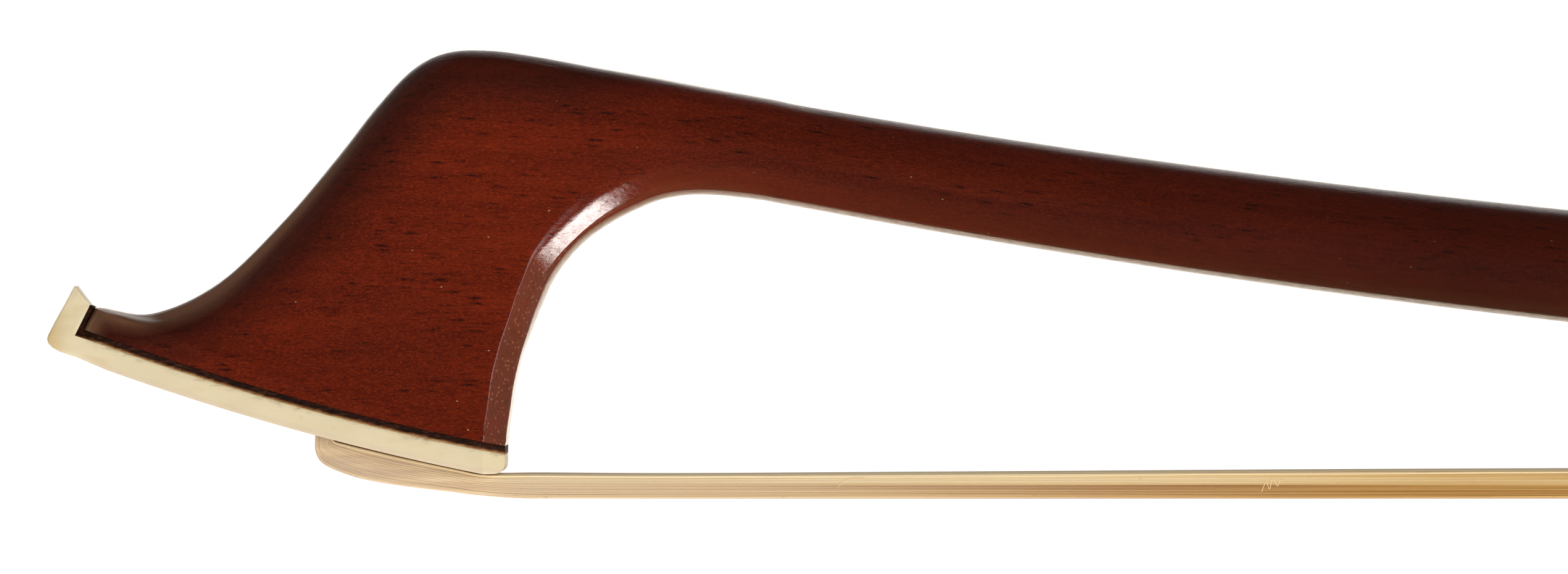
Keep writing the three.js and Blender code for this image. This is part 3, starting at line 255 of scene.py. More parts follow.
def axis_slope(x):
    along = min(x, CAMBER_END) - HEAD_LENGTH
    return camber_rise - CAMBER_FALL * exp(-along / CAMBER_FADE)


def axis_height(x):
    along = min(x, CAMBER_END) - HEAD_LENGTH
    beyond = max(0.0, x - CAMBER_END) * axis_slope(CAMBER_END)
    return neck_z + camber_rise * along - camber_fall(along) + beyond


def stick_diameter(x):
    return HANDLE_FLATS - (HANDLE_FLATS - NECK_DIAMETER) * exp((TAPER_START - x) / TAPER_LENGTH)


def seat_height(x):
    along = (SEAT_REAR - x) / seat_length
    shape = SEAT_STRAIGHT * along + (1 - SEAT_STRAIGHT) * along * along
    return seat_rear_z + SEAT_RISE * HEAD_HEIGHT * shape


def plate_top(x):
    return seat_height(x) - plate_top_depth


def plate_under(x):
    return max(plate_top(x) - PLATE_THICKNESS, head_base)


def catmull(a, b, c, d, way):
    """A smooth value between b and c."""
    return b + 0.5 * way * (c - a + way * (2 * a - 5 * b + 4 * c - d + way * (3 * (b - c) + d - a)))


def smooth_rows(rows, steps, first=0):
    """Rows of equal numbers with steps between each two. Spans before first stay straight."""
    out = []
    for i in range(len(rows) - 1):
        before, after = rows[max(i - 1, 0)], rows[min(i + 2, len(rows) - 1)]
        for k in range(steps):
            way = k / steps
            if i < first:
                out.append([lerp(b, c, way) for b, c in zip(rows[i], rows[i + 1])])
            else:
                out.append([catmull(*v, way) for v in zip(before, rows[i], rows[i + 1], after)])
    out.append(list(rows[-1]))
    return out


# Meshes

def place_object(name, data):
    made = bpy.data.objects.new(name, data)
    bpy.context.collection.objects.link(made)
    return made


def new_piece(name, points, faces, look, body="stick", slot=None, angle=38):
    mesh = bpy.data.meshes.new(name)
    mesh.from_pydata([tuple(p) for p in points], [], faces)
    mesh.validate()
    mesh.update()
    piece = place_object(name, mesh)
    mesh.materials.append(materials[look])
    soften(mesh, angle)
    if body:
        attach(piece, body)
    return piece


def soften(mesh, angle):
    for polygon in mesh.polygons:
        polygon.use_smooth = True
    mesh.set_sharp_from_angle(angle=radians(angle))


def mark(piece, name, value_at):
    """A vector for each point, which a material reads, from the point's number, length place and height."""
    made = piece.data.attributes.new(name, "FLOAT_VECTOR", "POINT")
    for i, vertex in enumerate(piece.data.vertices):
        made.data[i].vector = value_at(i, vertex.co.x - nose_x, vertex.co.z)


def tube_faces(rings, size, closed=False, start=0):
    faces = []
    for i in range(rings if closed else rings - 1):
        low, high = start + i * size, start + (i + 1) % rings * size
        for k in range(size):
            n = (k + 1) % size
            faces.append((low + k, low + n, high + n, high + k))
    return faces


def end_faces(rings, size, start=0):
    """Both ends of a tube."""
    last = start + (rings - 1) * size
    return [tuple(range(start + size - 1, start - 1, -1)), tuple(range(last, last + size))]


def mirror_cap(start, size, flip):
    """An end that joins each point of a ring to its mirror image."""
    faces = []
    for k in range(size // 2):
        quad = [start + i % size for i in (k, k + 1, size - k - 1, size - k)]
        quad = list(dict.fromkeys(quad))
        if len(quad) > 2:
            faces.append(tuple(reversed(quad)) if flip else tuple(quad))
    return faces


def loft(rings):
    """Points and faces of a closed body through mirrored rings, turned outward."""
    size = len(rings[0])
    faces = tube_faces(len(rings), size)
    faces += mirror_cap(0, size, True) + mirror_cap((len(rings) - 1) * size, size, False)
    points = joined(rings)
    return points, outward(points, faces)


def joined(rings):
    return [p for ring in rings for p in ring]


def outward(points, faces):
    volume = 0.0
    for face in faces:
        a = points[face[0]]
        for b, c in zip(face[1:], face[2:]):
            volume += a.dot(points[b].cross(points[c]))
    return faces if volume > 0 else [tuple(reversed(f)) for f in faces]


def mirrored(half):
    return half + [Vector((p.x, -p.y, p.z)) for p in reversed(half[1:-1])]


def cut_away(piece, *cutters):
    for cutter in cutters:
        fit = piece.modifiers.new("cut", "BOOLEAN")
        fit.operation = "DIFFERENCE"
        fit.solver = "EXACT"
        fit.object = cutter
    shown = bpy.context.evaluated_depsgraph_get()
    mesh = bpy.data.meshes.new_from_object(piece.evaluated_get(shown))
    old = piece.data
    piece.modifiers.clear()
    piece.data = mesh
    bpy.data.meshes.remove(old)
    for cutter in cutters:
        bpy.data.objects.remove(cutter)


def block_cutter(corner, along, side, up):
    """A box from a corner and three edges."""
    points = [corner + along * i + side * j + up * k for i in (0, 1) for j in (0, 1) for k in (0, 1)]
    faces = [(0, 1, 3, 2), (4, 6, 7, 5), (0, 4, 5, 1), (2, 3, 7, 6), (0, 2, 6, 4), (1, 5, 7, 3)]
    return cutter_object(points, faces)


def rod_cutter(start, end, radius, sides=40):
    along = (end - start).normalized()
    up = along.cross(ACROSS)
    turns = [2 * pi * k / sides for k in range(sides)]
    rings = [[p + (ACROSS * cos(t) + up * sin(t)) * radius for t in turns] for p in (start, end)]
    faces = tube_faces(2, sides) + [tuple(range(sides)), tuple(range(2 * sides - 1, sides - 1, -1))]
    return cutter_object(joined(rings), faces)


def cutter_object(points, faces):
    mesh = bpy.data.meshes.new("cutter")
    mesh.from_pydata([tuple(p) for p in points], [], outward(points, faces))
    return place_object("cutter", mesh)


# Materials

def colour(hexes):
    """A linear colour from a written one."""
    parts = [int(hexes[i:i + 2], 16) / 255 for i in (0, 2, 4)]
    return [p / 12.92 if p <= 0.04045 else ((p + 0.055) / 1.055) ** 2.4 for p in parts] + [1]


class Nodes:
    """Short calls for the nodes of a material or of the world. A text stands for its colour."""

    def __init__(self, owner, out="OutputMaterial"):
        owner.use_nodes = True
        self.owner, self.tree = owner, owner.node_tree
        self.tree.nodes.clear()
        self.out = self.node(out)

    def node(self, kind, inputs=None, **settings):
        made = self.tree.nodes.new("ShaderNode" + kind)
        for name, value in settings.items():
            setattr(made, name, value)
        for place, value in (inputs or {}).items():
            self.link(value, made.inputs[place])
        return made

    def link(self, source, target):
        if isinstance(source, str):
            source = colour(source)
        if isinstance(source, (int, float, list, tuple, Vector)):
            target.default_value = source
        else:
            self.tree.links.new(source, target)

    def surface(self, made):
        self.link(made.outputs[0], self.out.inputs["Surface"])
        return self.owner

    def shader(self, tint, rough, **values):
        inputs = {"Base Color": tint, "Roughness": rough}
        inputs.update({name.replace("_", " "): value for name, value in values.items()})
        return self.surface(self.node("BsdfPrincipled", inputs))

    def cover(self, body, *layers):
        """Colours laid over a body, each as far as its amount says."""
        for amount, tint in layers:
            body = self.mix(amount, body, tint)
        return body

    def rays(self, *kinds):
        """Whether a ray is of one of these kinds."""
        found, path = 0.0, self.node("LightPath").outputs
        for kind in kinds:
            found = self.math("MAXIMUM", found, path[f"Is {kind} Ray"])
        return found

    def attribute(self, name):
        return self.node("Attribute", attribute_name=name).outputs["Vector"]

    def parts(self, vector):
        return self.node("SeparateXYZ", {0: vector}).outputs

    def place(self, scale, source=None):
        """Places in millimetres, stretched by scale."""
        if source is None:
            source = self.node("TexCoord").outputs["Object"]
        return self.node("Mapping", {"Vector": source, "Scale": [s / MM for s in scale]}).outputs[0]

    def noise(self, scale, source=None, detail=2.0, rough=0.5, warp=0.0):
        inputs = {"Vector": self.place(scale, source), "Scale": 1.0}
        inputs.update({"Detail": detail, "Roughness": rough, "Distortion": warp})
        return self.node("TexNoise", inputs).outputs["Fac"]

    def cells(self, scale, source=None):
        """How far the nearest of many random points is."""
        inputs = {"Vector": self.place(scale, source), "Scale": 1.0}
        return self.node("TexVoronoi", inputs).outputs["Distance"]

    def ramp(self, fac, *stops, ease="LINEAR"):
        made = self.node("ValToRGB", {"Fac": fac})
        made.color_ramp.interpolation = ease
        points = made.color_ramp.elements
        while len(points) < len(stops):
            points.new(0.5)
        for point, (place, value) in zip(points, stops):
            point.position = place
            point.color = colour(value) if isinstance(value, str) else (value, value, value, 1)
        return made.outputs["Color"]

    def mix(self, fac, a, b, kind="MIX"):
        return self.node("MixRGB", {0: fac, 1: a, 2: b}, blend_type=kind).outputs[0]

    def math(self, kind, a, b):
        return self.node("Math", {0: a, 1: b}, operation=kind).outputs[0]

    def times(self, a, b):
        return self.math("MULTIPLY", a, b)

    def plus(self, a, b):
        return self.math("ADD", a, b)

    def bump(self, height, distance, strength=1.0):
        inputs = {"Distance": distance * MM, "Strength": strength, "Height": height}
        return self.node("Bump", inputs).outputs[0]


def finish(name):
    return Nodes(bpy.data.materials.new(name))


def pernambuco():
    n = finish("pernambuco")
    grain = n.attribute("grain")
    along = n.parts(grain)["X"]
    facing = n.parts(n.node("TexCoord").outputs["Normal"])
    edge = n.parts(n.attribute("edge"))
    streaks = n.noise((0.04, 0.8, 1.0), grain, detail=4, rough=0.6, warp=0.3)
    cloud = n.noise((0.06, 0.16, 0.16), grain)
    fibre = n.noise((0.9, 8, 8), grain, detail=4, rough=0.75, warp=0.3)
    flecks = n.noise((4.5, 11, 11), grain, detail=3, rough=0.7)
    wood = n.cover(
        n.ramp(streaks, (0.3, "521505"), (0.5, "5f1907"), (0.72, "6d2009")),
        (n.ramp(cloud, (0.4, 0.0), (0.7, 0.4)), "3e0f07"),
        (n.ramp(fibre, (0.36, 0.55), (0.52, 0.0)), "2f0b04"),
        (n.ramp(flecks, (0.46, 0.0), (0.7, 0.45)), "95340f"),
    )
    # Open pores, in groups
    dashes = n.ramp(n.cells((0.4, 3.0, 3.0), grain), (0.12, 1.0), (0.34, 0.0))
    dots = n.ramp(n.noise((3, 6, 6), grain, detail=1), (0.4, 0.25), (0.5, 1.0))
    some = n.ramp(n.noise((0.2, 0.5, 0.5), grain), (0.44, 0.0), (0.54, 1.0))
    pores = n.times(n.times(dashes, some), dots)
    specks = n.ramp(n.cells((0.5, 0.9, 0.9), grain), (0.022, 1.0), (0.04, 0.0))
    wood = n.cover(wood, (n.times(pores, 0.85), "1d0905"), (n.times(specks, 0.6), "d2b08c"))
    # Darker and paler places: painted shade at the front of the head, a painted reflection band along its crest,
    # painted light on the underside, and the run of the stick darker
    # Painted shade: the front of the head darker near its crest
    front = n.ramp(edge["X"], (0.28, 0.72), (0.5, 0.4), (0.8, 0.0))
    # Painted reflection: a paler band along the crest at the front, narrower toward its top
    band = n.ramp(edge["Z"], (0.05, 1.0), (0.12, 0.75), (0.19, 0.25), (0.27, 0.0))
    # Painted light from below: all that faces down is lighter
    under = n.ramp(n.times(facing["Z"], -1.0), (0.3, 0.0), (0.65, 0.5))
    darker = ((0.15, 0.0), (0.21, 0.3), (0.3, 0.48), (0.45, 0.78), (0.6, 0.6), (1.0, 0.45))
    darker = n.ramp(n.times(along, 1 / DARKER_RUN), *darker)
    pale = n.times(band, edge["Y"])
    wood = n.cover(wood, (front, "260f09"), (pale, "6b4934"), (under, "7d3318"), (darker, "210a05"))
    # All that faces along the stick, away from the nose, lighter and greyer: a painted reflection, as on the
    # chamfer behind the throat, with tan specks in it
    wear_and_sheen = n.ramp(facing["X"], (0.35, 0.0), (0.62, 1.0))
    tan = n.ramp(n.cells((3.0, 3.0, 3.0)), (0.1, 0.5), (0.32, 0.0))
    wood = n.cover(wood, (n.times(wear_and_sheen, 0.4), "66341f"), (n.times(wear_and_sheen, tan), "a36c48"))
    # Varnish
    ripples = n.noise((0.8, 1.2, 1.6))
    height = n.plus(n.math("SUBTRACT", n.times(fibre, 0.5), n.times(pores, 0.3)), ripples)
    patches = n.noise((1.6, 2.4, 2.4), detail=4, rough=0.7)
    return n.shader(
        wood, 0.5, Specular_IOR_Level=0.05, Normal=n.bump(height, 0.02, 0.5),
        Coat_Weight=n.ramp(patches, (0.36, 0.72), (0.56, 1.0)), Coat_Roughness=0.09, Coat_IOR=1.5,
        Coat_Normal=n.bump(height, 0.03, 0.6),
    )


def bone():
    n = finish("bone")
    cloud = n.noise((0.25, 0.25, 0.6), detail=3)
    spots = n.noise((0.9, 0.9, 0.9), detail=4, rough=0.65)
    scratches = n.noise((0.4, 6, 6))
    stains = n.ramp(n.noise((0.7, 1.5, 2.5), detail=4, rough=0.7), (0.5, 0.0), (0.7, 0.8))
    low, beak, top = list(n.parts(n.attribute("rim")))
    body = n.ramp(cloud, (0.3, "ddcca6"), (0.6, "e3d3ae"), (0.8, "d9c398"))
    # Greyer along the rounded lower edge and darker at the beak, which faces down: painted shade, over the beak's
    # own yellower tone; brown stains along the top edge
    body = n.cover(
        body, (n.ramp(spots, (0.62, 0.0), (0.78, 0.35)), "c2ab86"), (n.times(low, 0.55), "cdb8a4"),
        (n.times(beak, 0.85), "cdb07a"), (n.times(top, stains), "7a5232"),
    )
    return n.shader(
        body, n.ramp(spots, (0.3, 0.3), (0.7, 0.42)), Subsurface_Weight=0.12,
        Subsurface_Radius=(0.6 * MM, 0.4 * MM, 0.25 * MM), Subsurface_Scale=1.0,
        Normal=n.bump(scratches, 0.01, 0.35),
    )


def black_wood():
    n = finish("ebony")
    fibre = n.noise((0.25, 5, 5), detail=3, rough=0.7)
    body = n.ramp(fibre, (0.35, "0c0908"), (0.65, "16110e"))
    pores = n.ramp(n.cells((0.5, 4, 4)), (0.08, 1.0), (0.2, 0.0))
    body = n.mix(n.times(pores, 0.4), body, "2f241c")
    rough = n.ramp(fibre, (0.3, 0.38), (0.7, 0.52))
    return n.shader(body, rough, Normal=n.bump(fibre, 0.012, 0.4))


def liner():
    n = finish("liner")
    dirt = n.noise((1.6, 3, 5), detail=5, rough=0.7)
    body = n.ramp(dirt, (0.4, "1c0d07"), (0.55, "2d160c"), (0.75, "57301f"))
    down = n.parts(n.attribute("down"))["X"]
    ragged = n.plus(down, n.times(n.math("SUBTRACT", dirt, 0.5), 0.5))
    start, end = n.ramp(ragged, (0.62, 0.0), (0.78, 1.0)), n.ramp(ragged, (0.8, 0.0), (0.98, 1.0))
    body = n.cover(body, (start, "6b4024"), (end, "b08c5c"))
    return n.shader(body, 0.6, Specular_IOR_Level=0.1, Normal=n.bump(dirt, 0.05, 0.6))


def horsehair():
    n = finish("horsehair")
    tone, pale, top = list(n.parts(n.attribute("tone")))
    bands = n.noise((0.01, 1.2, 2.0), rough=0.6)
    fine = n.noise((0.03, 3.5, 4.5))
    shade = n.plus(n.plus(n.times(tone, 0.2), bands), n.times(fine, 0.15))
    body = n.ramp(shade, (0.5, "966330"), (0.6, "b08449"), (0.72, "c7a165"), (0.84, "dfc493"))
    # Paler near the head; the strands on top paler still: painted light where less light falls
    body = n.cover(body, (n.times(pale, 0.6), "e4d2b8"), (n.times(top, 0.8), "fbe6b8"))
    return n.shader(body, 0.5, Specular_IOR_Level=0.1, Sheen_Weight=0.1, Sheen_Roughness=0.4)


def metal(name, tint, rough):
    n = finish(name)
    brushed = n.noise((0.5, 3, 3), detail=1)
    tarnish = n.noise((0.18, 0.18, 0.18), detail=3)
    body = n.mix(n.ramp(tarnish, (0.45, 0.0), (0.8, 0.35)), tint, "5b534a")
    rough = n.ramp(brushed, (0.3, rough), (0.7, rough + 0.03))
    return n.shader(body, rough, Metallic=0.55, Normal=n.bump(brushed, 0.0005, 0.3))


def pearl():
    n = finish("pearl")
    folds = n.noise((0.35, 0.5, 0.5), detail=3, warp=1.6)
    tints = ((0.25, "c9d4dc"), (0.42, "ece6df"), (0.55, "dcc9d2"), (0.68, "c6dccf"), (0.85, "f0ece6"))
    body = n.ramp(folds, *tints)
    folded = n.bump(folds, 0.02, 0.3)
    return n.shader(body, 0.18, Coat_Weight=0.6, Coat_Roughness=0.06, Normal=folded)


def pale_wood():
    n = finish("plug_wood")
    fibre = n.noise((2, 6, 0.4), detail=3)
    body = n.ramp(fibre, (0.3, "a57f4f"), (0.7, "cda873"))
    return n.shader(body, 0.7, Normal=n.bump(fibre, 0.02, 0.5))


def thread():
    n = finish("thread")
    waves = n.node("TexWave", {"Vector": n.place((1, 1, 1)), "Scale": 4}, bands_direction="Z").outputs["Fac"]
    body = n.ramp(waves, (0.2, "5c1a15"), (0.8, "9a362b"))
    return n.shader(body, 0.8, Normal=n.bump(waves, 0.05))


def grip_leather():
    n = finish("grip_leather")
    pebbles = n.cells((1.5, 1.5, 1.5))
    wear_and_sheen = n.noise((0.12, 0.25, 0.25), detail=3)
    body = n.ramp(wear_and_sheen, (0.35, "1c120d"), (0.7, "3a261b"))
    body = n.mix(n.ramp(pebbles, (0.3, 0.0), (0.65, 0.6)), body, "0f0907")
    rough = n.ramp(wear_and_sheen, (0.3, 0.62), (0.75, 0.42))
    return n.shader(body, rough, Normal=n.bump(pebbles, 0.08, 0.7))


def winding(name, dark, light):
    n = finish(name)
    fibre = n.noise((0.7, 3, 3), detail=3, warp=0.4)
    body = n.ramp(fibre, (0.3, dark), (0.7, light))
    rough = n.ramp(fibre, (0.3, 0.32), (0.7, 0.5))
    return n.shader(body, rough, Normal=n.bump(fibre, 0.01, 0.4))


materials = {
    "pernambuco": pernambuco(), "bone": bone(), "liner": liner(), "hair": horsehair(),
    "ebony": black_wood(), "silver": metal("silver", "cfccc4", 0.3), "pearl": pearl(),
    "brass": metal("brass", "b58d45", 0.29), "steel": metal("steel", "96989b", 0.29),
    "plug_wood": pale_wood(), "thread": thread(), "leather": grip_leather(),
    "pale_winding": winding("pale_winding", "c2ae7c", "dfd0a6"),
    "dark_winding": winding("dark_winding", "140e0b", "2c2019"),
}


# Stick and head, one piece of wood

# Along the head: throat x and z, crest x and z, half widths there, how square and how seated on the plate
# each section is. All but the last two are shares of the head.
HEAD_STATIONS = [
    [0.6023, 0.0794, 0.0607, 0.3938, 0.495, 0.2, 1, 0.85],
    [0.6035, 0.1054, 0.1358, 0.3838, 0.484, 0.228, 1, 0.5],
    [0.6076, 0.1555, 0.2243, 0.4543, 0.463, 0.249, 1, 0.2],
    [0.6123, 0.2138, 0.3086, 0.5954, 0.441, 0.27, 1, 0],
    [0.6206, 0.2725, 0.3786, 0.7439, 0.416, 0.28, 1, 0],
    [0.6327, 0.3307, 0.4321, 0.8671, 0.393, 0.285, 1, 0],
    [0.6461, 0.3912, 0.4794, 0.9555, 0.372, 0.287, 1, 0],
    [0.6667, 0.4696, 0.5247, 0.9948, 0.35, 0.289, 1, 0],
    [0.6984, 0.5397, 0.5802, 0.9993, 0.33, 0.289, 1, 0],
    [0.7348, 0.5895, 0.642, 0.9852, 0.312, 0.288, 0.9, 0],
    [0.7784, 0.6303, 0.716, 0.961, 0.298, 0.284, 0.75, 0],
    [0.8142, 0.6522, 0.7922, 0.9369, 0.288, 0.28, 0.55, 0],
    [0.8595, 0.6596, 0.8683, 0.9109, 0.28, 0.277, 0.35, 0],
    [0.9243, 0.6496, 0.9465, 0.8857, 0.275, 0.275, 0.15, 0],
]
STATION_STEPS = 8

# The corners of half a section, from the middle of the throat to the middle of the crest: place on the
# round section, how far each is cut back on either side, that cut on the round section, and its points.
CORNERS = [
    (0.0, 0, 0, 0, 0, 1),
    (0.125, 0.25 * MM, 0.25 * MM, 0.02, 0.02, 4),
    (0.375, 0.07 * MM, 0.1 * MM, 0.02, 0.022, 7),
    (0.75, 2.4 * MM, 0.85 * MM, 0.09, 0.04, 10),
    (0.875, 0.5 * MM, 0.5 * MM, 0.03, 0.03, 5),
    (1.0, 0, 0, 0, 0, 1),
]
SEGMENT_POINTS = (4, 2, 15, 1, 1)
FLAT_EDGE, CHEEK_LOW, CHEEK_TOP = (corner[0] for corner in CORNERS[1:4])


def crest_flat(crest_half, wide=0.0):
    return max(crest_half - BEVEL_SIDE, lerp(BEVEL_SIDE, NOSE_FLAT, wide))


def round_section(t, half, height, flat=1.0):
    """Way up and half width of a round section, flattened under its middle."""
    angle = pi * t
    up, side = height * (1 - cos(angle)) / 2, half * sin(angle)
    if flat and t <= FLAT_EDGE:
        up = lerp(up, FLAT_CROWN * (t / FLAT_EDGE) ** 1.4, flat)
        side = lerp(side, FLAT_HALF * t / FLAT_EDGE, flat)
    elif flat and t < CHEEK_LOW:
        way, last = (t - FLAT_EDGE) / (CHEEK_LOW - FLAT_EDGE), pi * CHEEK_LOW
        end = Vector((height * (1 - cos(last)) / 2, half * sin(last)))
        turn = end + FLAT_TURN * Vector((-sin(last), -cos(last)))
        start = Vector((FLAT_CROWN, FLAT_HALF))
        point = start.lerp(turn, way).lerp(turn.lerp(end, way), way)
        up, side = lerp(up, point.x, flat), lerp(side, point.y, flat)
    return up, side


def seat_chord(x):
    return lerp(seat_rear_z, seat_height(SEAT_NOSE), (SEAT_REAR - x) / seat_length)


def square_half(throat_half, crest_half, height, wide=0.0, chamfer=CHAMFER_DEPTH, soft=0.0):
    """Places round half the square section: round place, way up, half width."""
    bevel = lerp(BEVEL_DEPTH, NOSE_BEVEL, wide)
    corners = [
        (0, 0), (0, throat_half - CHAMFER_SIDE), (chamfer, throat_half),
        (height - bevel, crest_half), (height, crest_flat(crest_half, wide)), (height, 0),
    ]
    out = []
    last, last_t = corners[0], 0.0
    for i, (t, cut0, cut1, t0, t1, count) in enumerate(CORNERS):
        here = Vector(corners[i])
        if t == CHEEK_LOW:
            cut0, cut1 = lerp(cut0, SOFT_CORNER, soft), lerp(cut1, SOFT_CORNER, soft)
        start, end, start_t = here, here, t - t0
        if 0 < i < len(corners) - 1:
            before, after = Vector(corners[i - 1]) - here, Vector(corners[i + 1]) - here
            start = here + before.normalized() * min(cut0, before.length * 0.45)
            end = here + after.normalized() * min(cut1, after.length * 0.48)
        if i:
            steps = SEGMENT_POINTS[i - 1]
            for k in range(1, steps + 1):
                way = k / (steps + 1)
                point = Vector(last).lerp(start, way)
                out.append((lerp(last_t, start_t, way), point.x, point.y))
        for k in range(count):
            way = k / (count - 1) if count > 1 else 0.5
            point = start.lerp(here, way).lerp(here.lerp(end, way), way)
            out.append((lerp(start_t, t + t1, way), point.x, point.y))
        last, last_t = end, t + t1
    return out


def head_ring(tx, tz, cx, cz, throat_half, crest_half, square, seated, skew=1.0):
    crown = THROAT_CROWN * smooth((tz - THROAT_CROWN_FROM) / THROAT_CROWN_FADE)
    wide = smooth((cx - SEAT_NOSE) / (NOSE_BEVEL_FROM - SEAT_NOSE))
    wide *= smooth((NOSE_BEVEL_TO - cx) / NOSE_BEVEL_FADE)
    throat, crest = Vector((tx, 0, tz)), Vector((cx, 0, cz))
    span = crest - throat
    half = []
    chamfer = crown + CHAMFER_DEPTH / skew
    soft = smooth((tz - SOFT_FROM) / SOFT_FADE)
    for t, up, side in square_half(throat_half, crest_half, span.length, wide, chamfer, soft):
        if t < FLAT_EDGE * 1.5:
            up += crown * clamp(side / (throat_half - CHAMFER_SIDE)) ** 2
        cheek = clamp((t - CHEEK_LOW) / (CHEEK_TOP - CHEEK_LOW))
        side += CHEEK_CROWN * sin(pi * cheek)
        round_half = lerp(throat_half, crest_half, (1 - cos(pi * t)) / 2)
        round_up, round_side = round_section(t, round_half, span.length)
        point = throat + span * lerp(round_up, up, square) / span.length
        point.z += seated * (seat_height(point.x) - seat_chord(point.x))
        out = 0 if t in (0.0, 1.0) else lerp(round_side, side, square)
        half.append(at(point.x, point.z, out))
    return mirrored(half)


round_places = [t for t, _, _ in square_half(HEAD_WIDTH / 2, HEAD_WIDTH / 4, HEAD_HEIGHT)]


def stick_ring(x, grow=0.0, places=None, wear=OCTAGON_WEAR, radius=None):
    slope = atan(axis_slope(x))
    flat = 0 if radius else clamp((x - octagon_start) / OCTAGON_BLEND)
    radius = radius or lerp(stick_diameter(x), HANDLE_FLATS, flat) / 2 + grow
    planed = 1 - smooth((x - FLAT_FADE_FROM) / FLAT_FADE)
    half = []
    for t in places or round_places:
        angle = pi * t
        from_flat = angle - round(angle / (pi / 4)) * pi / 4
        reach = lerp(radius, min(radius / cos(from_flat), radius * wear), flat)
        down, out = reach * cos(angle), reach * sin(angle)
        if planed:
            up, out = round_section(t, radius, 2 * radius, planed)
            down = radius - up
        x0, z0 = down * sin(slope), -down * cos(slope)
        half.append(at(x + x0, axis_height(x) + z0, 0 if t in (0.0, 1.0) else out))
    return mirrored(half)


def on_handle(along, up, y=0.0):
    """A point at a length back from the stick's end and a height over its axis."""
    return stick_end - handle_x * along + handle_up * up + Vector((0, y, 0))


def wood_stations():
    rows = [[SEAT_REAR, seat_rear_z, SEAT_NOSE, seat_height(SEAT_NOSE), HEAD_WIDTH / 2, nose_half, 1, 1]]
    for tx, tz, cx, cz, th, ch, square, seated in HEAD_STATIONS:
        row = [tx * HEAD_LENGTH, head_base + tz * HEAD_HEIGHT, cx * HEAD_LENGTH, head_base + cz * HEAD_HEIGHT]
        rows.append(row + [th * HEAD_WIDTH, ch * HEAD_WIDTH, square, seated])
    for x in (HEAD_LENGTH, HEAD_LENGTH + NECK_LENGTH):
        slope, half = atan(axis_slope(x)), stick_diameter(x) / 2
        back, up = half * sin(slope), half * cos(slope)
        z = axis_height(x)
        rows.append([x + back, z - up, x - back, z + up, half, half, 0, 0])
    return smooth_rows(rows, STATION_STEPS, first=1)[:-STATION_STEPS - 1]


def wood_rings(stations):
    rings = []
    for i, row in enumerate(stations):
        before, after = stations[max(i - 1, 0)], stations[min(i + 1, len(stations) - 1)]
        along = Vector((after[0] - before[0], after[1] - before[1])).normalized()
        across = Vector((row[2] - row[0], row[3] - row[1])).normalized()
        rings.append(head_ring(*row, skew=sqrt(1 - along.dot(across) ** 2) if i else 1))
    count = ceil((octagon_start - HEAD_LENGTH) / SHAFT_STEP)
    xs = [lerp(HEAD_LENGTH, octagon_start, i / count) for i in range(count)]
    xs += [octagon_start + OCTAGON_BLEND * k / 4 for k in range(5)]
    xs += [lerp(octagon_start + OCTAGON_BLEND, stick_end_x, k / 6) for k in range(1, 6)]
    rings += [stick_ring(x) for x in xs]
    rings.append(stick_ring(stick_end_x - END_ROUNDING))
    rings.append(stick_ring(stick_end_x, grow=-END_ROUNDING))
    rings.append(stick_ring(stick_end_x, radius=NIPPLE_RADIUS))
    rings.append(stick_ring(stick_end_x + NIPPLE_LENGTH, radius=NIPPLE_RADIUS))
    return rings


def grain_line(x):
    """How high the grain runs: along the stick, and nearly level in the head."""
    if x > HEAD_LENGTH:
        return axis_height(x)
    return neck_z + axis_slope(HEAD_LENGTH) * GRAIN_TURN * (exp((x - HEAD_LENGTH) / GRAIN_TURN) - 1)


def mark_wood(wood, crest):
    """Marks places along the grain, how near the crest is, and how far the painted shade along the crest and the
    painted reflection on the front reach and where they end.
    """
    def edge(_, x, z):
        from_crest = min((at(x, z) - p).length for p in crest) / EDGE_REACH if x < HEAD_LENGTH else 1
        behind = smooth((x - EDGE_END) / (HEAD_LENGTH - EDGE_END))
        # How far the painted reflection on the front reaches, and where it narrows
        pale = smooth((SHEEN_FRONT - x) / SHEEN_FADE)
        narrow = 1 + SHEEN_NARROWING * smooth((x - SHEEN_NARROWS_FROM) / SHEEN_NARROWS_BY)
        return clamp(from_crest + behind), pale, clamp(from_crest * narrow)

    points = wood.data.vertices
    mark(wood, "grain", lambda i, x, z: (x, points[i].co.y, z - grain_line(x)))
    mark(wood, "edge", edge)


def head_mortise():
    corner = at(mortise_front, 0, -MORTISE_WIDTH / 2)
    side, up = Vector((0, MORTISE_WIDTH, 0)), Vector((0, 0, head_base + MORTISE_DEPTH))
    return block_cutter(corner, Vector((MORTISE_LENGTH, 0, 0)), side, up)


def make_wood():
    stations = wood_stations()
    wood = new_piece("bow_wood", *loft(wood_rings(stations)), "pernambuco", body=None)
    corner = on_handle(EYELET_PLACE + SLOT_FRONT, -HANDLE_FLATS, -SLOT_WIDTH / 2)
    length, up = handle_x * (SLOT_FRONT + SLOT_REAR), handle_up * (HANDLE_FLATS + SLOT_TOP)
    slot = block_cutter(corner, length, ACROSS * SLOT_WIDTH, up)
    bore = rod_cutter(on_handle(BORE_LENGTH, 0), on_handle(-2 * NIPPLE_LENGTH, 0), BORE_RADIUS)
    cut_away(wood, head_mortise(), bore, slot)
    soften(wood.data, 24)
    mark_wood(wood, [at(row[2], row[3]) for row in stations])
    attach(wood, "stick")
    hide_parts("stick")


# Plate and lining under the head

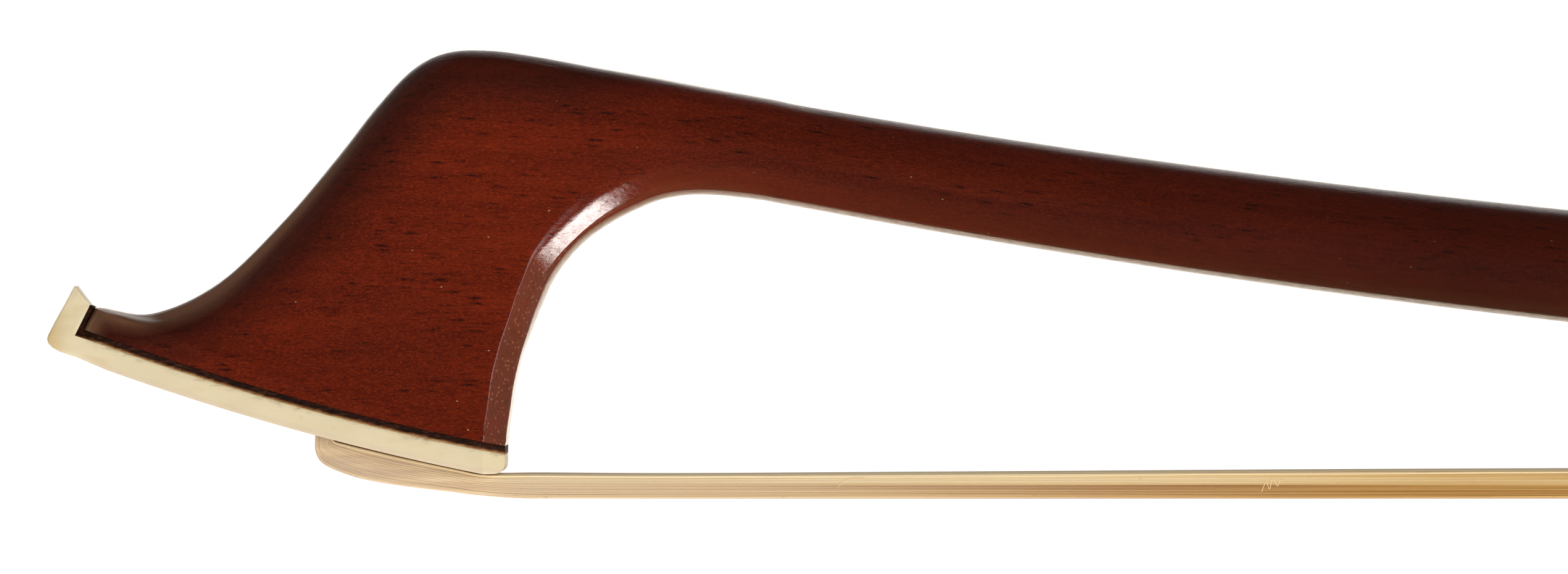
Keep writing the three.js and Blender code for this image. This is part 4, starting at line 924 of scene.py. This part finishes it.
def seat_half(x):
    from_rear, from_nose = SEAT_REAR - x, x - SEAT_NOSE
    straight = seat_length - CHAMFER_DEPTH - BEVEL_DEPTH
    way = clamp((from_rear - CHAMFER_DEPTH) / straight)
    side = lerp(HEAD_WIDTH / 2, nose_half, way) + CHEEK_CROWN * sin(pi * way)
    rear_cut = CHAMFER_SIDE * max(0, 1 - from_rear / CHAMFER_DEPTH)
    nose_cut = (nose_half - crest_flat(nose_half)) * max(0, 1 - from_nose / BEVEL_DEPTH)
    return side - rear_cut - nose_cut


def beside_nose(top, depth):
    """A point in front of the wood's nose, at its top or out from its lower corner."""
    corner = at(SEAT_NOSE, seat_height(SEAT_NOSE))
    tip = at(HEAD_STATIONS[0][2] * HEAD_LENGTH, head_base + HEAD_STATIONS[0][3] * HEAD_HEIGHT)
    face = (tip - corner).normalized()
    out = Vector((-face.z, 0, face.x))
    if top:
        return tip + out * depth
    steep = SEAT_STRAIGHT + 2 * (1 - SEAT_STRAIGHT)
    slope = -SEAT_RISE * HEAD_HEIGHT * steep / seat_length
    below = Vector((slope, 0, -1)).normalized()
    turned = min(depth, TURN_UP)
    share = out.dot(below)
    return corner + (out * (turned - share * depth) + below * (depth - share * turned)) / (1 - share * share)


def strip_ring(outer, inner, half, edge, arc=5, inner_edge=0.03 * MM, side_steps=0):
    """A section with rounded outer corners, from the inner middle round to the outer middle."""
    across = inner - outer
    depth = across.length
    across.normalize()
    edge = min(edge, depth * 0.45, half * 0.45)
    side = Vector((0, half, 0))
    out = [inner, inner + Vector((0, half - inner_edge, 0)), inner - across * inner_edge + side]
    for k in range(side_steps):
        way = (k + 1) / (side_steps + 1)
        out.append((inner - across * inner_edge).lerp(outer + across * edge, way) + side)
    for k in range(arc + 1):
        turn = pi / 2 * k / arc
        y = half - edge + edge * cos(turn)
        out.append(outer + across * (edge - edge * sin(turn)) + Vector((0, y, 0)))
    out.append(outer)
    return mirrored([Vector(p) for p in out])


def seat_places(last, count=44):
    """Lengths from behind the chamfer to the nose."""
    rear = SEAT_REAR - CHAMFER_DEPTH
    places = [SEAT_REAR - CHAMFER_DEPTH * k / 6 for k in range(6)]
    return places + [lerp(rear, last, k / count) for k in range(count + 1)]


def make_lining():
    places = seat_places(SEAT_NOSE + BEVEL_DEPTH)
    spans = [(at(x, plate_top(x)), at(x, seat_height(x)), seat_half(x)) for x in places]
    half = crest_flat(nose_half)
    spans.append((beside_nose(False, plate_top_depth), beside_nose(False, 0), half))
    spans.append((beside_nose(True, TURN_UP), beside_nose(True, 0), half))
    rings = [strip_ring(*span, LINING_EDGE, 2, LINING_EDGE) for span in spans]
    lining = new_piece("head_liner", *loft(rings), "liner", slot="ebony")
    cut_away(lining, head_mortise())

    def down(_, x, z):
        return clamp((seat_height(clamp(x, SEAT_NOSE, SEAT_REAR)) - z) / plate_top_depth), 0, 0

    mark(lining, "down", down)
    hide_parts("head_lining")


# The beak's outline, in shares of the head, from its straight part to its tip
BEAK_OUTER = [
    (0.0391, 0.2743), (0.0255, 0.2822), (0.0152, 0.289), (0.0072, 0.2972), (0.0018, 0.307), (-0.0001, 0.3175),
    (0.0012, 0.3262), (0.0107, 0.36), (0.0228, 0.4), (0.035, 0.4417),
]


def plate_ring(outer, inner, half, edge=PLATE_EDGE):
    return strip_ring(outer, inner, half, edge, side_steps=5)


def plate_rear_rings():
    rings = []
    for k in range(7):
        turn = pi / 2 * (1 - k / 6)
        x = SEAT_REAR - PLATE_REAR_ROUND * (1 - sin(turn))
        rise = PLATE_REAR_ROUND * (1 - cos(turn)) * 0.8
        drop = PLATE_REAR_DROP * max(0, 1 - k / 2)
        rings.append(plate_ring(at(x, plate_under(x) + rise), at(x, plate_top(x) - drop), seat_half(x)))
    return rings


def beak_rings(straight):
    """Sections of the beak: its inner side turns up at a corner in front of the lining."""
    corner, tip = beside_nose(False, plate_top_depth), beside_nose(True, TURN_UP)
    start_x = (straight + corner.x - nose_x) / 2
    start = at(start_x, plate_top(start_x))
    rings = []
    for i, (xs, zs) in enumerate(BEAK_OUTER):
        outer = at(xs * HEAD_LENGTH, head_base + zs * HEAD_HEIGHT)
        past = (i - BEAK_CORNER) / (len(BEAK_OUTER) - 1 - BEAK_CORNER)
        inner = start.lerp(corner, i / BEAK_CORNER) if past <= 0 else corner.lerp(tip, past)
        half = lerp(nose_half, BEAK_TIP_SHARE * HEAD_WIDTH, smooth(past))
        rings.append(plate_ring(outer, inner, half, PLATE_EDGE * (0.6 if past > 0 else 1)))
    outer, inner = outer.lerp(inner, 0.06) + BEAK_END, inner.lerp(outer, 0.04)
    rings.append(plate_ring(outer, inner, half * 0.93, PLATE_EDGE * 0.5))
    return rings


def make_plate():
    straight = SEAT_NOSE + PLATE_THICKNESS
    rings = plate_rear_rings()
    for x in seat_places(straight)[5:]:
        rings.append(plate_ring(at(x, plate_under(x)), at(x, plate_top(x)), seat_half(x)))
    plate = new_piece("head_face", *loft(rings + beak_rings(straight)), "bone", slot="bone", angle=50)
    cut_away(plate, head_mortise())
    soften(plate.data, 50)

    # How near the lower edge and the beak are, for painted shade, and how near the top, for stains
    def rim(_, x, z):
        low = smooth(1 - (z - plate_under(x)) / RIM_LOW) if x > SEAT_NOSE else 0
        under = plate_top(clamp(x, SEAT_NOSE, SEAT_REAR)) - z
        top = smooth(1 - under / RIM_TOP) * smooth((x - SEAT_NOSE) / MM)
        return low, smooth(1 - x / RIM_BEAK), top

    mark(plate, "rim", rim)
    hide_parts("head_plate")


# Hair: a core with single strands on it

# Its fold under the head: outer and inner places along the mortise, height and half width, as shares
TIP_FOLDS = [
    (0.024, 0.14, 1.99, 0.345), (0.08, 0.23, 1.46, 0.355), (0.237, 0.347, 1.01, 0.375),
    (0.387, 0.485, 0.753, 0.395), (0.586, 0.644, 0.541, 0.42), (0.884, 0.911, 0.295, 0.46),
    (1.082, 1.1, 0.137, 0.48), (1.45, 1.45, 0, 0.5),
]
TAPER_STEPS = 8
ROW_STEPS = 7


def hair_rows():
    """Outer x and z, inner x and z, and half width, from the mouth in the head to the frog."""
    outer_x = mortise_front + MOUTH_GAP
    inner_x = outer_x + MOUTH_THICKNESS
    top = plate_under(outer_x)
    rows = [[outer_x, z, inner_x, z, MOUTH_HALF] for z in (top + MOUTH_HEIGHT, top)]
    for outer, inner, z, half in TIP_FOLDS:
        x0, x1 = mortise_front + outer * MORTISE_LENGTH, mortise_front + inner * MORTISE_LENGTH
        under = plate_under(x1) - HAIR_CLEARANCE * 0.4
        rows.append([x0, z * HAIR_TIP_THICKNESS, x1, under, half * HAIR_TIP_WIDTH])
    ferrule_x = ferrule_box[0][0] - nose_x
    low = ferrule_box[0][2] + FERRULE_FLOOR
    run_x = HEAD_LENGTH + HAIR_SWELL
    for x in (HEAD_LENGTH + past for past in HAIR_LEVEL):
        swell = smooth((x - HAIR_SWELL_FROM) / (run_x - HAIR_SWELL_FROM))
        rows.append([x, 0, x, lerp(HAIR_TIP_THICKNESS, HAIR_RUN_THICKNESS, swell), HAIR_TIP_WIDTH / 2])
    for k in range(1, TAPER_STEPS + 1):
        way = k / TAPER_STEPS
        x = lerp(run_x, ferrule_x - FERRULE_FRONT, way)
        thick = lerp(HAIR_RUN_THICKNESS, HAIR_FERRULE_THICKNESS, smooth(way))
        half = lerp(HAIR_TIP_WIDTH, HAIR_FERRULE_WIDTH - FERRULE_ROOM, smooth((way - 0.1) / 0.9)) / 2
        rows.append([x, low * way, x, low * way + thick, half])
    x = ferrule_x + FERRULE_REACH
    return rows + [[x, low, x, low + HAIR_FERRULE_THICKNESS, half]]


def hair_point(row, thick, side, lift=0.0):
    x0, z0, x1, z1, half = row
    across = Vector((x1 - x0, 0, z1 - z0))
    point = at(x0, z0) + across * thick + across.normalized() * (lift if thick > 0.5 else -lift)
    point.y = half * side
    return point


def add_tone(piece, values):
    """Marks each point's own tone, how pale the hair is there and how far it is on top, where light is painted on.
    """
    def tone(i, x, _):
        value, top = values[i % len(values)]
        return value, 1 - smooth((x - PALE_HAIR_FROM) / PALE_HAIR_FADE), top

    mark(piece, "tone", tone)


def fix_hair(piece):
    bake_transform(piece)


def core_ring(outer, inner, half, edge=CORE_EDGE):
    return strip_ring(outer, inner, half, edge, 4, CORE_INNER_EDGE)


def make_core(rows):
    inset = STRAND_DIAMETER * 0.2
    rings = []
    for x0, z0, x1, z1, half in rows:
        across = Vector((x1 - x0, 0, z1 - z0)).normalized() * inset
        rings.append(core_ring(at(x0, z0) + across, at(x1, z1) - across, half - inset))
    low = ferrule_box[0][2] + FROG_HAIR_FLOOR
    for x in (hair_box[1][0] - FROG_HAIR_LENGTH, hair_box[1][0] - HAIR_CLEARANCE):
        top = Vector((x, 0, low + FROG_HAIR_THICKNESS))
        rings.append(core_ring(Vector((x, 0, low)), top, FROG_HAIR_HALF, 0.3 * MM))
    body = new_piece("hair_core", *loft(rings), "hair", body=None)
    add_tone(body, [(0.4, 0)])
    fix_hair(body)
    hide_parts("hair_hank")


def make_knot(node, name, body):
    """The knotted end of the hair, in the place of its solid."""
    (x0, y0, z0), (x1, y1, z1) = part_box(node)
    rings = []
    for k in range(9):
        way = k / 8
        fill = 0.8 + 0.2 * sin(pi * way)
        middle, reach, z = (x0 + x1) / 2, (x1 - x0) / 2 * fill, lerp(z0, z1, way)
        low, high = Vector((middle - reach, 0, z)), Vector((middle + reach, 0, z))
        rings.append(strip_ring(low, high, (y1 - y0) / 2 * fill, KNOT_EDGE, 4, 0.3 * MM))
    knot = new_piece(name, *loft(rings), "hair", body=body, slot="hair")
    add_tone(knot, [(0.5, 0)])
    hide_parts(node)


def strand_places(rng):
    """Where strands lie round the hank: way through its thickness, way across its half width."""
    places = []
    for face in (0.0, 1.0):
        for k in range(FACE_STRANDS):
            side = lerp(-0.94, 0.94, (k + 0.5 + rng.uniform(-0.3, 0.3)) / FACE_STRANDS)
            places.append((face, side))
    for side in (-1, 1):
        for k in range(SIDE_STRANDS):
            places.append(((k + 0.5 + rng.uniform(-0.4, 0.4)) / SIDE_STRANDS, side))
    return places


def strand_line(rng, rows, radius, thick, side):
    """The middle of one strand at each row, its way through the hank there, and its radius."""
    on_face = thick in (0.0, 1.0)
    size, depth = radius * rng.uniform(0.85, 1.12), rng.uniform(0, 0.4)
    wander = [rng.uniform(-1, 1) for _ in range(4)]
    waves = [rng.uniform(25, 90) * MM for _ in range(4)]
    line = []
    for row in rows:
        sway = sum(w * sin(2 * pi * row[0] / l + l * 900) for w, l in zip(wander, waves)) / 4
        if on_face:
            corner = max(0.0, abs(side) - 0.86) / 0.14
            here = abs(thick - 0.3 * MM / HAIR_RUN_THICKNESS * corner)
            middle = hair_point(row, here, clamp(side + sway * 0.025, -0.97, 0.97), -size * 0.55)
        else:
            here = clamp(thick + sway * 0.09, 0.07, 0.93)
            middle = hair_point(row, here, side)
            middle.y -= copysign(size * (0.75 + depth), side)
        line.append((middle, here))
    return line, size, waves[0]


def make_strands(rows):
    rng = random.Random(7)
    points, faces, tones = [], [], []
    bands = [rng.uniform(0.2, 0.9) for _ in range(12)]
    for thick, side in strand_places(rng):
        band = rng.uniform(0.35, 0.7) if thick in (0.0, 1.0) else bands[int(thick * 8)]
        tone = clamp(band + rng.uniform(-0.12, 0.12))
        line, size, wave = strand_line(rng, rows, STRAND_DIAMETER / 2, thick, side)
        start = len(points)
        for i, (middle, here) in enumerate(line):
            before, after = rows[max(i - 1, 0)], rows[min(i + 1, len(rows) - 1)]
            along = hair_point(after, thick, side) - hair_point(before, thick, side)
            along.normalize()
            flat = along.cross(ACROSS).normalized()
            for k in range(STRAND_SIDES):
                turn = 2 * pi * k / STRAND_SIDES + 0.3
                points.append(middle + (ACROSS * cos(turn) + flat * sin(turn)) * size)
            shade = clamp(tone + 0.1 * sin(rows[i][0] / wave * 3))
            tones += [(shade, smooth((here - 0.85) * 10))] * STRAND_SIDES
        faces += tube_faces(len(rows), STRAND_SIDES, start=start) + end_faces(len(rows), STRAND_SIDES, start)
    strands = new_piece("hair_strands", points, faces, "hair", body=None, angle=80)
    add_tone(strands, tones)
    fix_hair(strands)


# Loose hairs on the side of the hank: length from the nose and height, in millimetres
LOOSE_HAIRS = [
    [(50.3, 0.7), (50.5, 0.98), (50.8, 1.16), (51.2, 1.28), (51.6, 1.33), (52.0, 1.28)],
    [(77.2, 0.42), (77.5, 1.1), (77.7, 0.6), (77.9, 1.3), (78.2, 0.8), (78.4, 1.2), (78.8, 1.0)],
]


def make_loose_hairs():
    points, faces = [], []
    for line in LOOSE_HAIRS:
        start = len(points)
        rows = smooth_rows([[x * MM, z * MM] for x, z in line], 5)
        for x, z in rows:
            for k in range(STRAND_SIDES):
                turn = 2 * pi * k / STRAND_SIDES
                side = -HAIR_TIP_WIDTH / 2 - LOOSE_RADIUS * cos(turn)
                points.append(at(x + LOOSE_RADIUS * sin(turn), z, side))
        faces += tube_faces(len(rows), STRAND_SIDES, start=start)
    hairs = new_piece("hair_loose", points, faces, "hair", body=None, angle=80)
    # The loose hairs take the palest tone and all of the painted light of the top strands
    add_tone(hairs, [(1.0, 1.0)])
    fix_hair(hairs)


# Grip and winding

def sleeve_piece(name, sections, look):
    """A sleeve round the stick: each section gives its length place, inner growth and outer growth."""
    places = [k / 64 for k in range(65)]
    rings = [stick_ring(x, far, places, SLEEVE_WEAR) for x, near, far in sections]
    rings += [stick_ring(x, near, places, SLEEVE_WEAR) for x, near, far in reversed(sections)]
    points = joined(rings)
    faces = outward(points, tube_faces(len(rings), len(rings[0]), closed=True))
    return new_piece(name, points, faces, look, slot=look, angle=50)


def make_leather():
    x0, x1 = (corner[0] - nose_x for corner in leather_box)
    near, thick, edge = GRIP_GAP, LEATHER_THICKNESS, LEATHER_EDGE
    steps = [(0, 0.35), (0.12, 0.72), (0.3, 0.93), (0.55, 1.0)]
    sections = [(x0 + edge + edge * 2 * s, near, near + thick * h) for s, h in steps]
    sections += [(lerp(x0 + LEATHER_ENDS, x1 - LEATHER_ENDS, k / 20), near, near + thick) for k in range(21)]
    sections += [(x1 - edge - edge * 2 * s, near, near + thick * h) for s, h in reversed(steps)]
    leather = sleeve_piece("grip_skin", sections, "leather")
    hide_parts("thumb_leather")


def make_winding():
    x0, x1 = (corner[0] - nose_x for corner in lapping_box)
    start, end = x0 + SLEEVE_INSET, x1 - SLEEVE_INSET
    sections = [(lerp(start, end, k / 24), GRIP_GAP, SLEEVE_TOP) for k in range(25)]
    base = sleeve_piece("winding_base", sections, "pale_winding")
    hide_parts("lapping_base")
    pitch = (lapping_box[1][0] - lapping_box[0][0] - 2 * STRIP_WIDTH - 2 * STRIP_INSET) / STRIP_TURNS
    w, h, r = STRIP_WIDTH / 2, STRIP_THICKNESS, STRIP_ROUND
    section = [(-w, 0), (-w, h - r), (-w + r * 0.3, h - r * 0.3), (-w + r, h)]
    section += [(-a, b) for a, b in reversed(section)]
    points = []
    count = STRIP_TURNS * STRIP_STEPS + 1
    for i in range(count):
        turns = i / STRIP_STEPS
        x = x0 + STRIP_INSET + STRIP_WIDTH + pitch * turns
        slope = atan(axis_slope(x))
        angle = 2 * pi * turns
        out = Vector((cos(angle) * sin(slope), sin(angle), -cos(angle) * cos(slope)))
        along = Vector((cos(slope), 0, sin(slope)))
        radius = stick_diameter(x) / 2 + STRIP_FLOOR
        middle = at(x, axis_height(x))
        points += [middle + along * a + out * (radius + b) for a, b in section]
    faces = outward(points, tube_faces(count, len(section)) + end_faces(count, len(section)))
    strip = new_piece("winding_strip", points, faces, "dark_winding", slot="dark_winding")
    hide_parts("lapping_strip")


# Metal, ebony and pearl: the frame's own solids with edges softened by so many millimetres

EDGES = {
    "frog_body": 0.3, "ferrule": 0.12, "slide_pearl": 0.08, "slide_base": 0.08, "heel_plate": 0.15,
    "back_plate": 0.15, "underslide": 0.08, "eyelet": 0.15, "button_core": 0.2, "button_front_ring": 0.25,
    "button_rear_ring": 0.3, "eye_ring_left": 0.06, "eye_ring_right": 0.06, "button_eye": 0.05,
    "spread_wedge": 0.1,
}


def soften_edges(node, width):
    weld = node.modifiers.new("weld", "WELD")
    weld.merge_threshold = 0.002 * MM
    edge = node.modifiers.new("edge", "BEVEL")
    edge.width = width
    edge.segments = 3
    edge.limit_method = "ANGLE"
    edge.angle_limit = radians(35)
    flat = node.modifiers.new("flat", "WEIGHTED_NORMAL")
    flat.keep_sharp = True


def dress_frame():
    slots = {row["node"]: row["material_slot"] for row in frame["record"]["subparts"]}
    for name, node in frame["nodes"].items():
        material = materials[slots[name]]
        if not node.data.materials:
            node.data.materials.append(material)
        for i in range(len(node.data.materials)):
            node.data.materials[i] = material
        soften(node.data, 30)
        if name in EDGES:
            soften_edges(node, EDGES[name] * MM)


make_wood()
make_lining()
make_plate()
hair = smooth_rows(hair_rows(), ROW_STEPS, first=1)
make_core(hair)
make_strands(hair)
make_loose_hairs()
make_knot("tip_hair_knot", "tip_knot_hair", "stick")
make_knot("frog_hair_knot", "frog_knot_hair", "frog")
make_leather()
make_winding()
dress_frame()


# Camera, floor and light

CAMERA_LENS = 300
CAMERA_DISTANCE = 833.7 * MM
CAMERA_X = 46.9 * MM
CAMERA_Z = 13.43 * MM
FLOOR_REACH = 30
KEY_PLACE = at(330 * MM, 150 * MM, -0.5)
KEY_TARGET = at(45 * MM, 14 * MM)
KEY_SIZE = (0.3, 0.25)
KEY_WATTS = 1.25

# Bright places that gloss shows: direction, cosines at which each begins and is full, strength, colour
GLEAMS = [
    ((0.0, 0.96, 0.28), 0.72, 0.92, 0.8, "f6f2ee"),
    ((0.0, 0.96, -0.28), 0.8, 0.9, 0.6, "ffe9c4"),
    ((0.71, -0.32, -0.625), 0.965, 1.0, 31.0, "fbf6f2"),
    ((0.62, -0.75, 0.0), 0.96, 0.99, 4.0, "ffffff"),
    ((1.0, 0.1, 0.0), 0.6, 0.95, 0.4, "ffeeda"),
    ((-0.85, 0.1, 0.55), 0.6, 0.9, 0.1, "fff2e4"),
]
WORLD_LEVEL = 0.4
GLOSS_LEVEL = 0.02


def add_camera():
    data = bpy.data.cameras.new("camera")
    data.lens = CAMERA_LENS
    data.sensor_width = 36
    data.clip_start = 0.01
    camera = place_object("camera", data)
    camera.location = at(CAMERA_X, CAMERA_Z, -CAMERA_DISTANCE)
    camera.rotation_euler = (pi / 2, 0, 0)
    bpy.context.scene.camera = camera


def glowing(n, tint, strength):
    """A diffuse surface with light of its own."""
    diffuse = n.node("BsdfDiffuse", {"Color": tint})
    glow = n.node("Emission", {"Strength": strength})
    return n.node("AddShader", {0: diffuse.outputs[0], 1: glow.outputs[0]}).outputs[0]


def floor_material():
    """White where it is seen, and nearly white to the light that it throws back."""
    n = finish("floor")
    seen = n.rays("Camera", "Glossy", "Transmission")
    shown, lit = glowing(n, (0.4, 0.4, 0.4, 1), 0.88), glowing(n, (0.85, 0.85, 0.84, 1), 0.85)
    return n.surface(n.node("MixShader", {0: seen, 1: lit, 2: shown}))


def add_floor():
    places = (-FLOOR_REACH, 0, FLOOR_REACH)
    faces = [(i, i + 3, i + 4, i + 1) for i in (0, 1, 3, 4)]
    mesh = bpy.data.meshes.new("floor")
    mesh.from_pydata([(x, y, 0) for x in places for y in places], [], faces)
    mesh.materials.append(floor_material())
    floor = place_object("floor", mesh)
    floor.visible_glossy = False


def add_key():
    data = bpy.data.lights.new("key", "AREA")
    data.shape = "RECTANGLE"
    data.size, data.size_y = KEY_SIZE
    data.energy = KEY_WATTS
    panel = place_object("key", data)
    panel.visible_glossy = False
    panel.location = KEY_PLACE
    panel.rotation_euler = (KEY_TARGET - KEY_PLACE).to_track_quat("-Z", "Y").to_euler()


def add_world():
    """Even light, white where it is seen itself, and dark with bright places where gloss shows it."""
    world = bpy.data.worlds.new("studio")
    world.cycles.sampling_method = "NONE"
    bpy.context.scene.world = world
    n = Nodes(world, "OutputWorld")
    toward = n.node("TexCoord").outputs["Generated"]
    glossy = (GLOSS_LEVEL, GLOSS_LEVEL, GLOSS_LEVEL, 1)
    for direction, outer, inner, strength, tint in GLEAMS:
        gleam = n.node("VectorMath", {0: toward, 1: Vector(direction).normalized()}, operation="DOT_PRODUCT")
        spot = n.ramp(gleam.outputs["Value"], (outer, 0.0), (inner, 1.0), ease="EASE")
        glossy = n.mix(1.0, glossy, n.mix(1.0, n.times(spot, strength), tint, "MULTIPLY"), "ADD")
    light = n.mix(n.rays("Glossy"), (WORLD_LEVEL, WORLD_LEVEL, WORLD_LEVEL, 1), glossy)
    light = n.mix(n.rays("Camera", "Transmission"), light, (1, 1, 1, 1))
    n.surface(n.node("Background", {"Color": light}))


bpy.context.scene.view_settings.view_transform = "Standard"
add_camera()
add_floor()
add_key()
add_world()
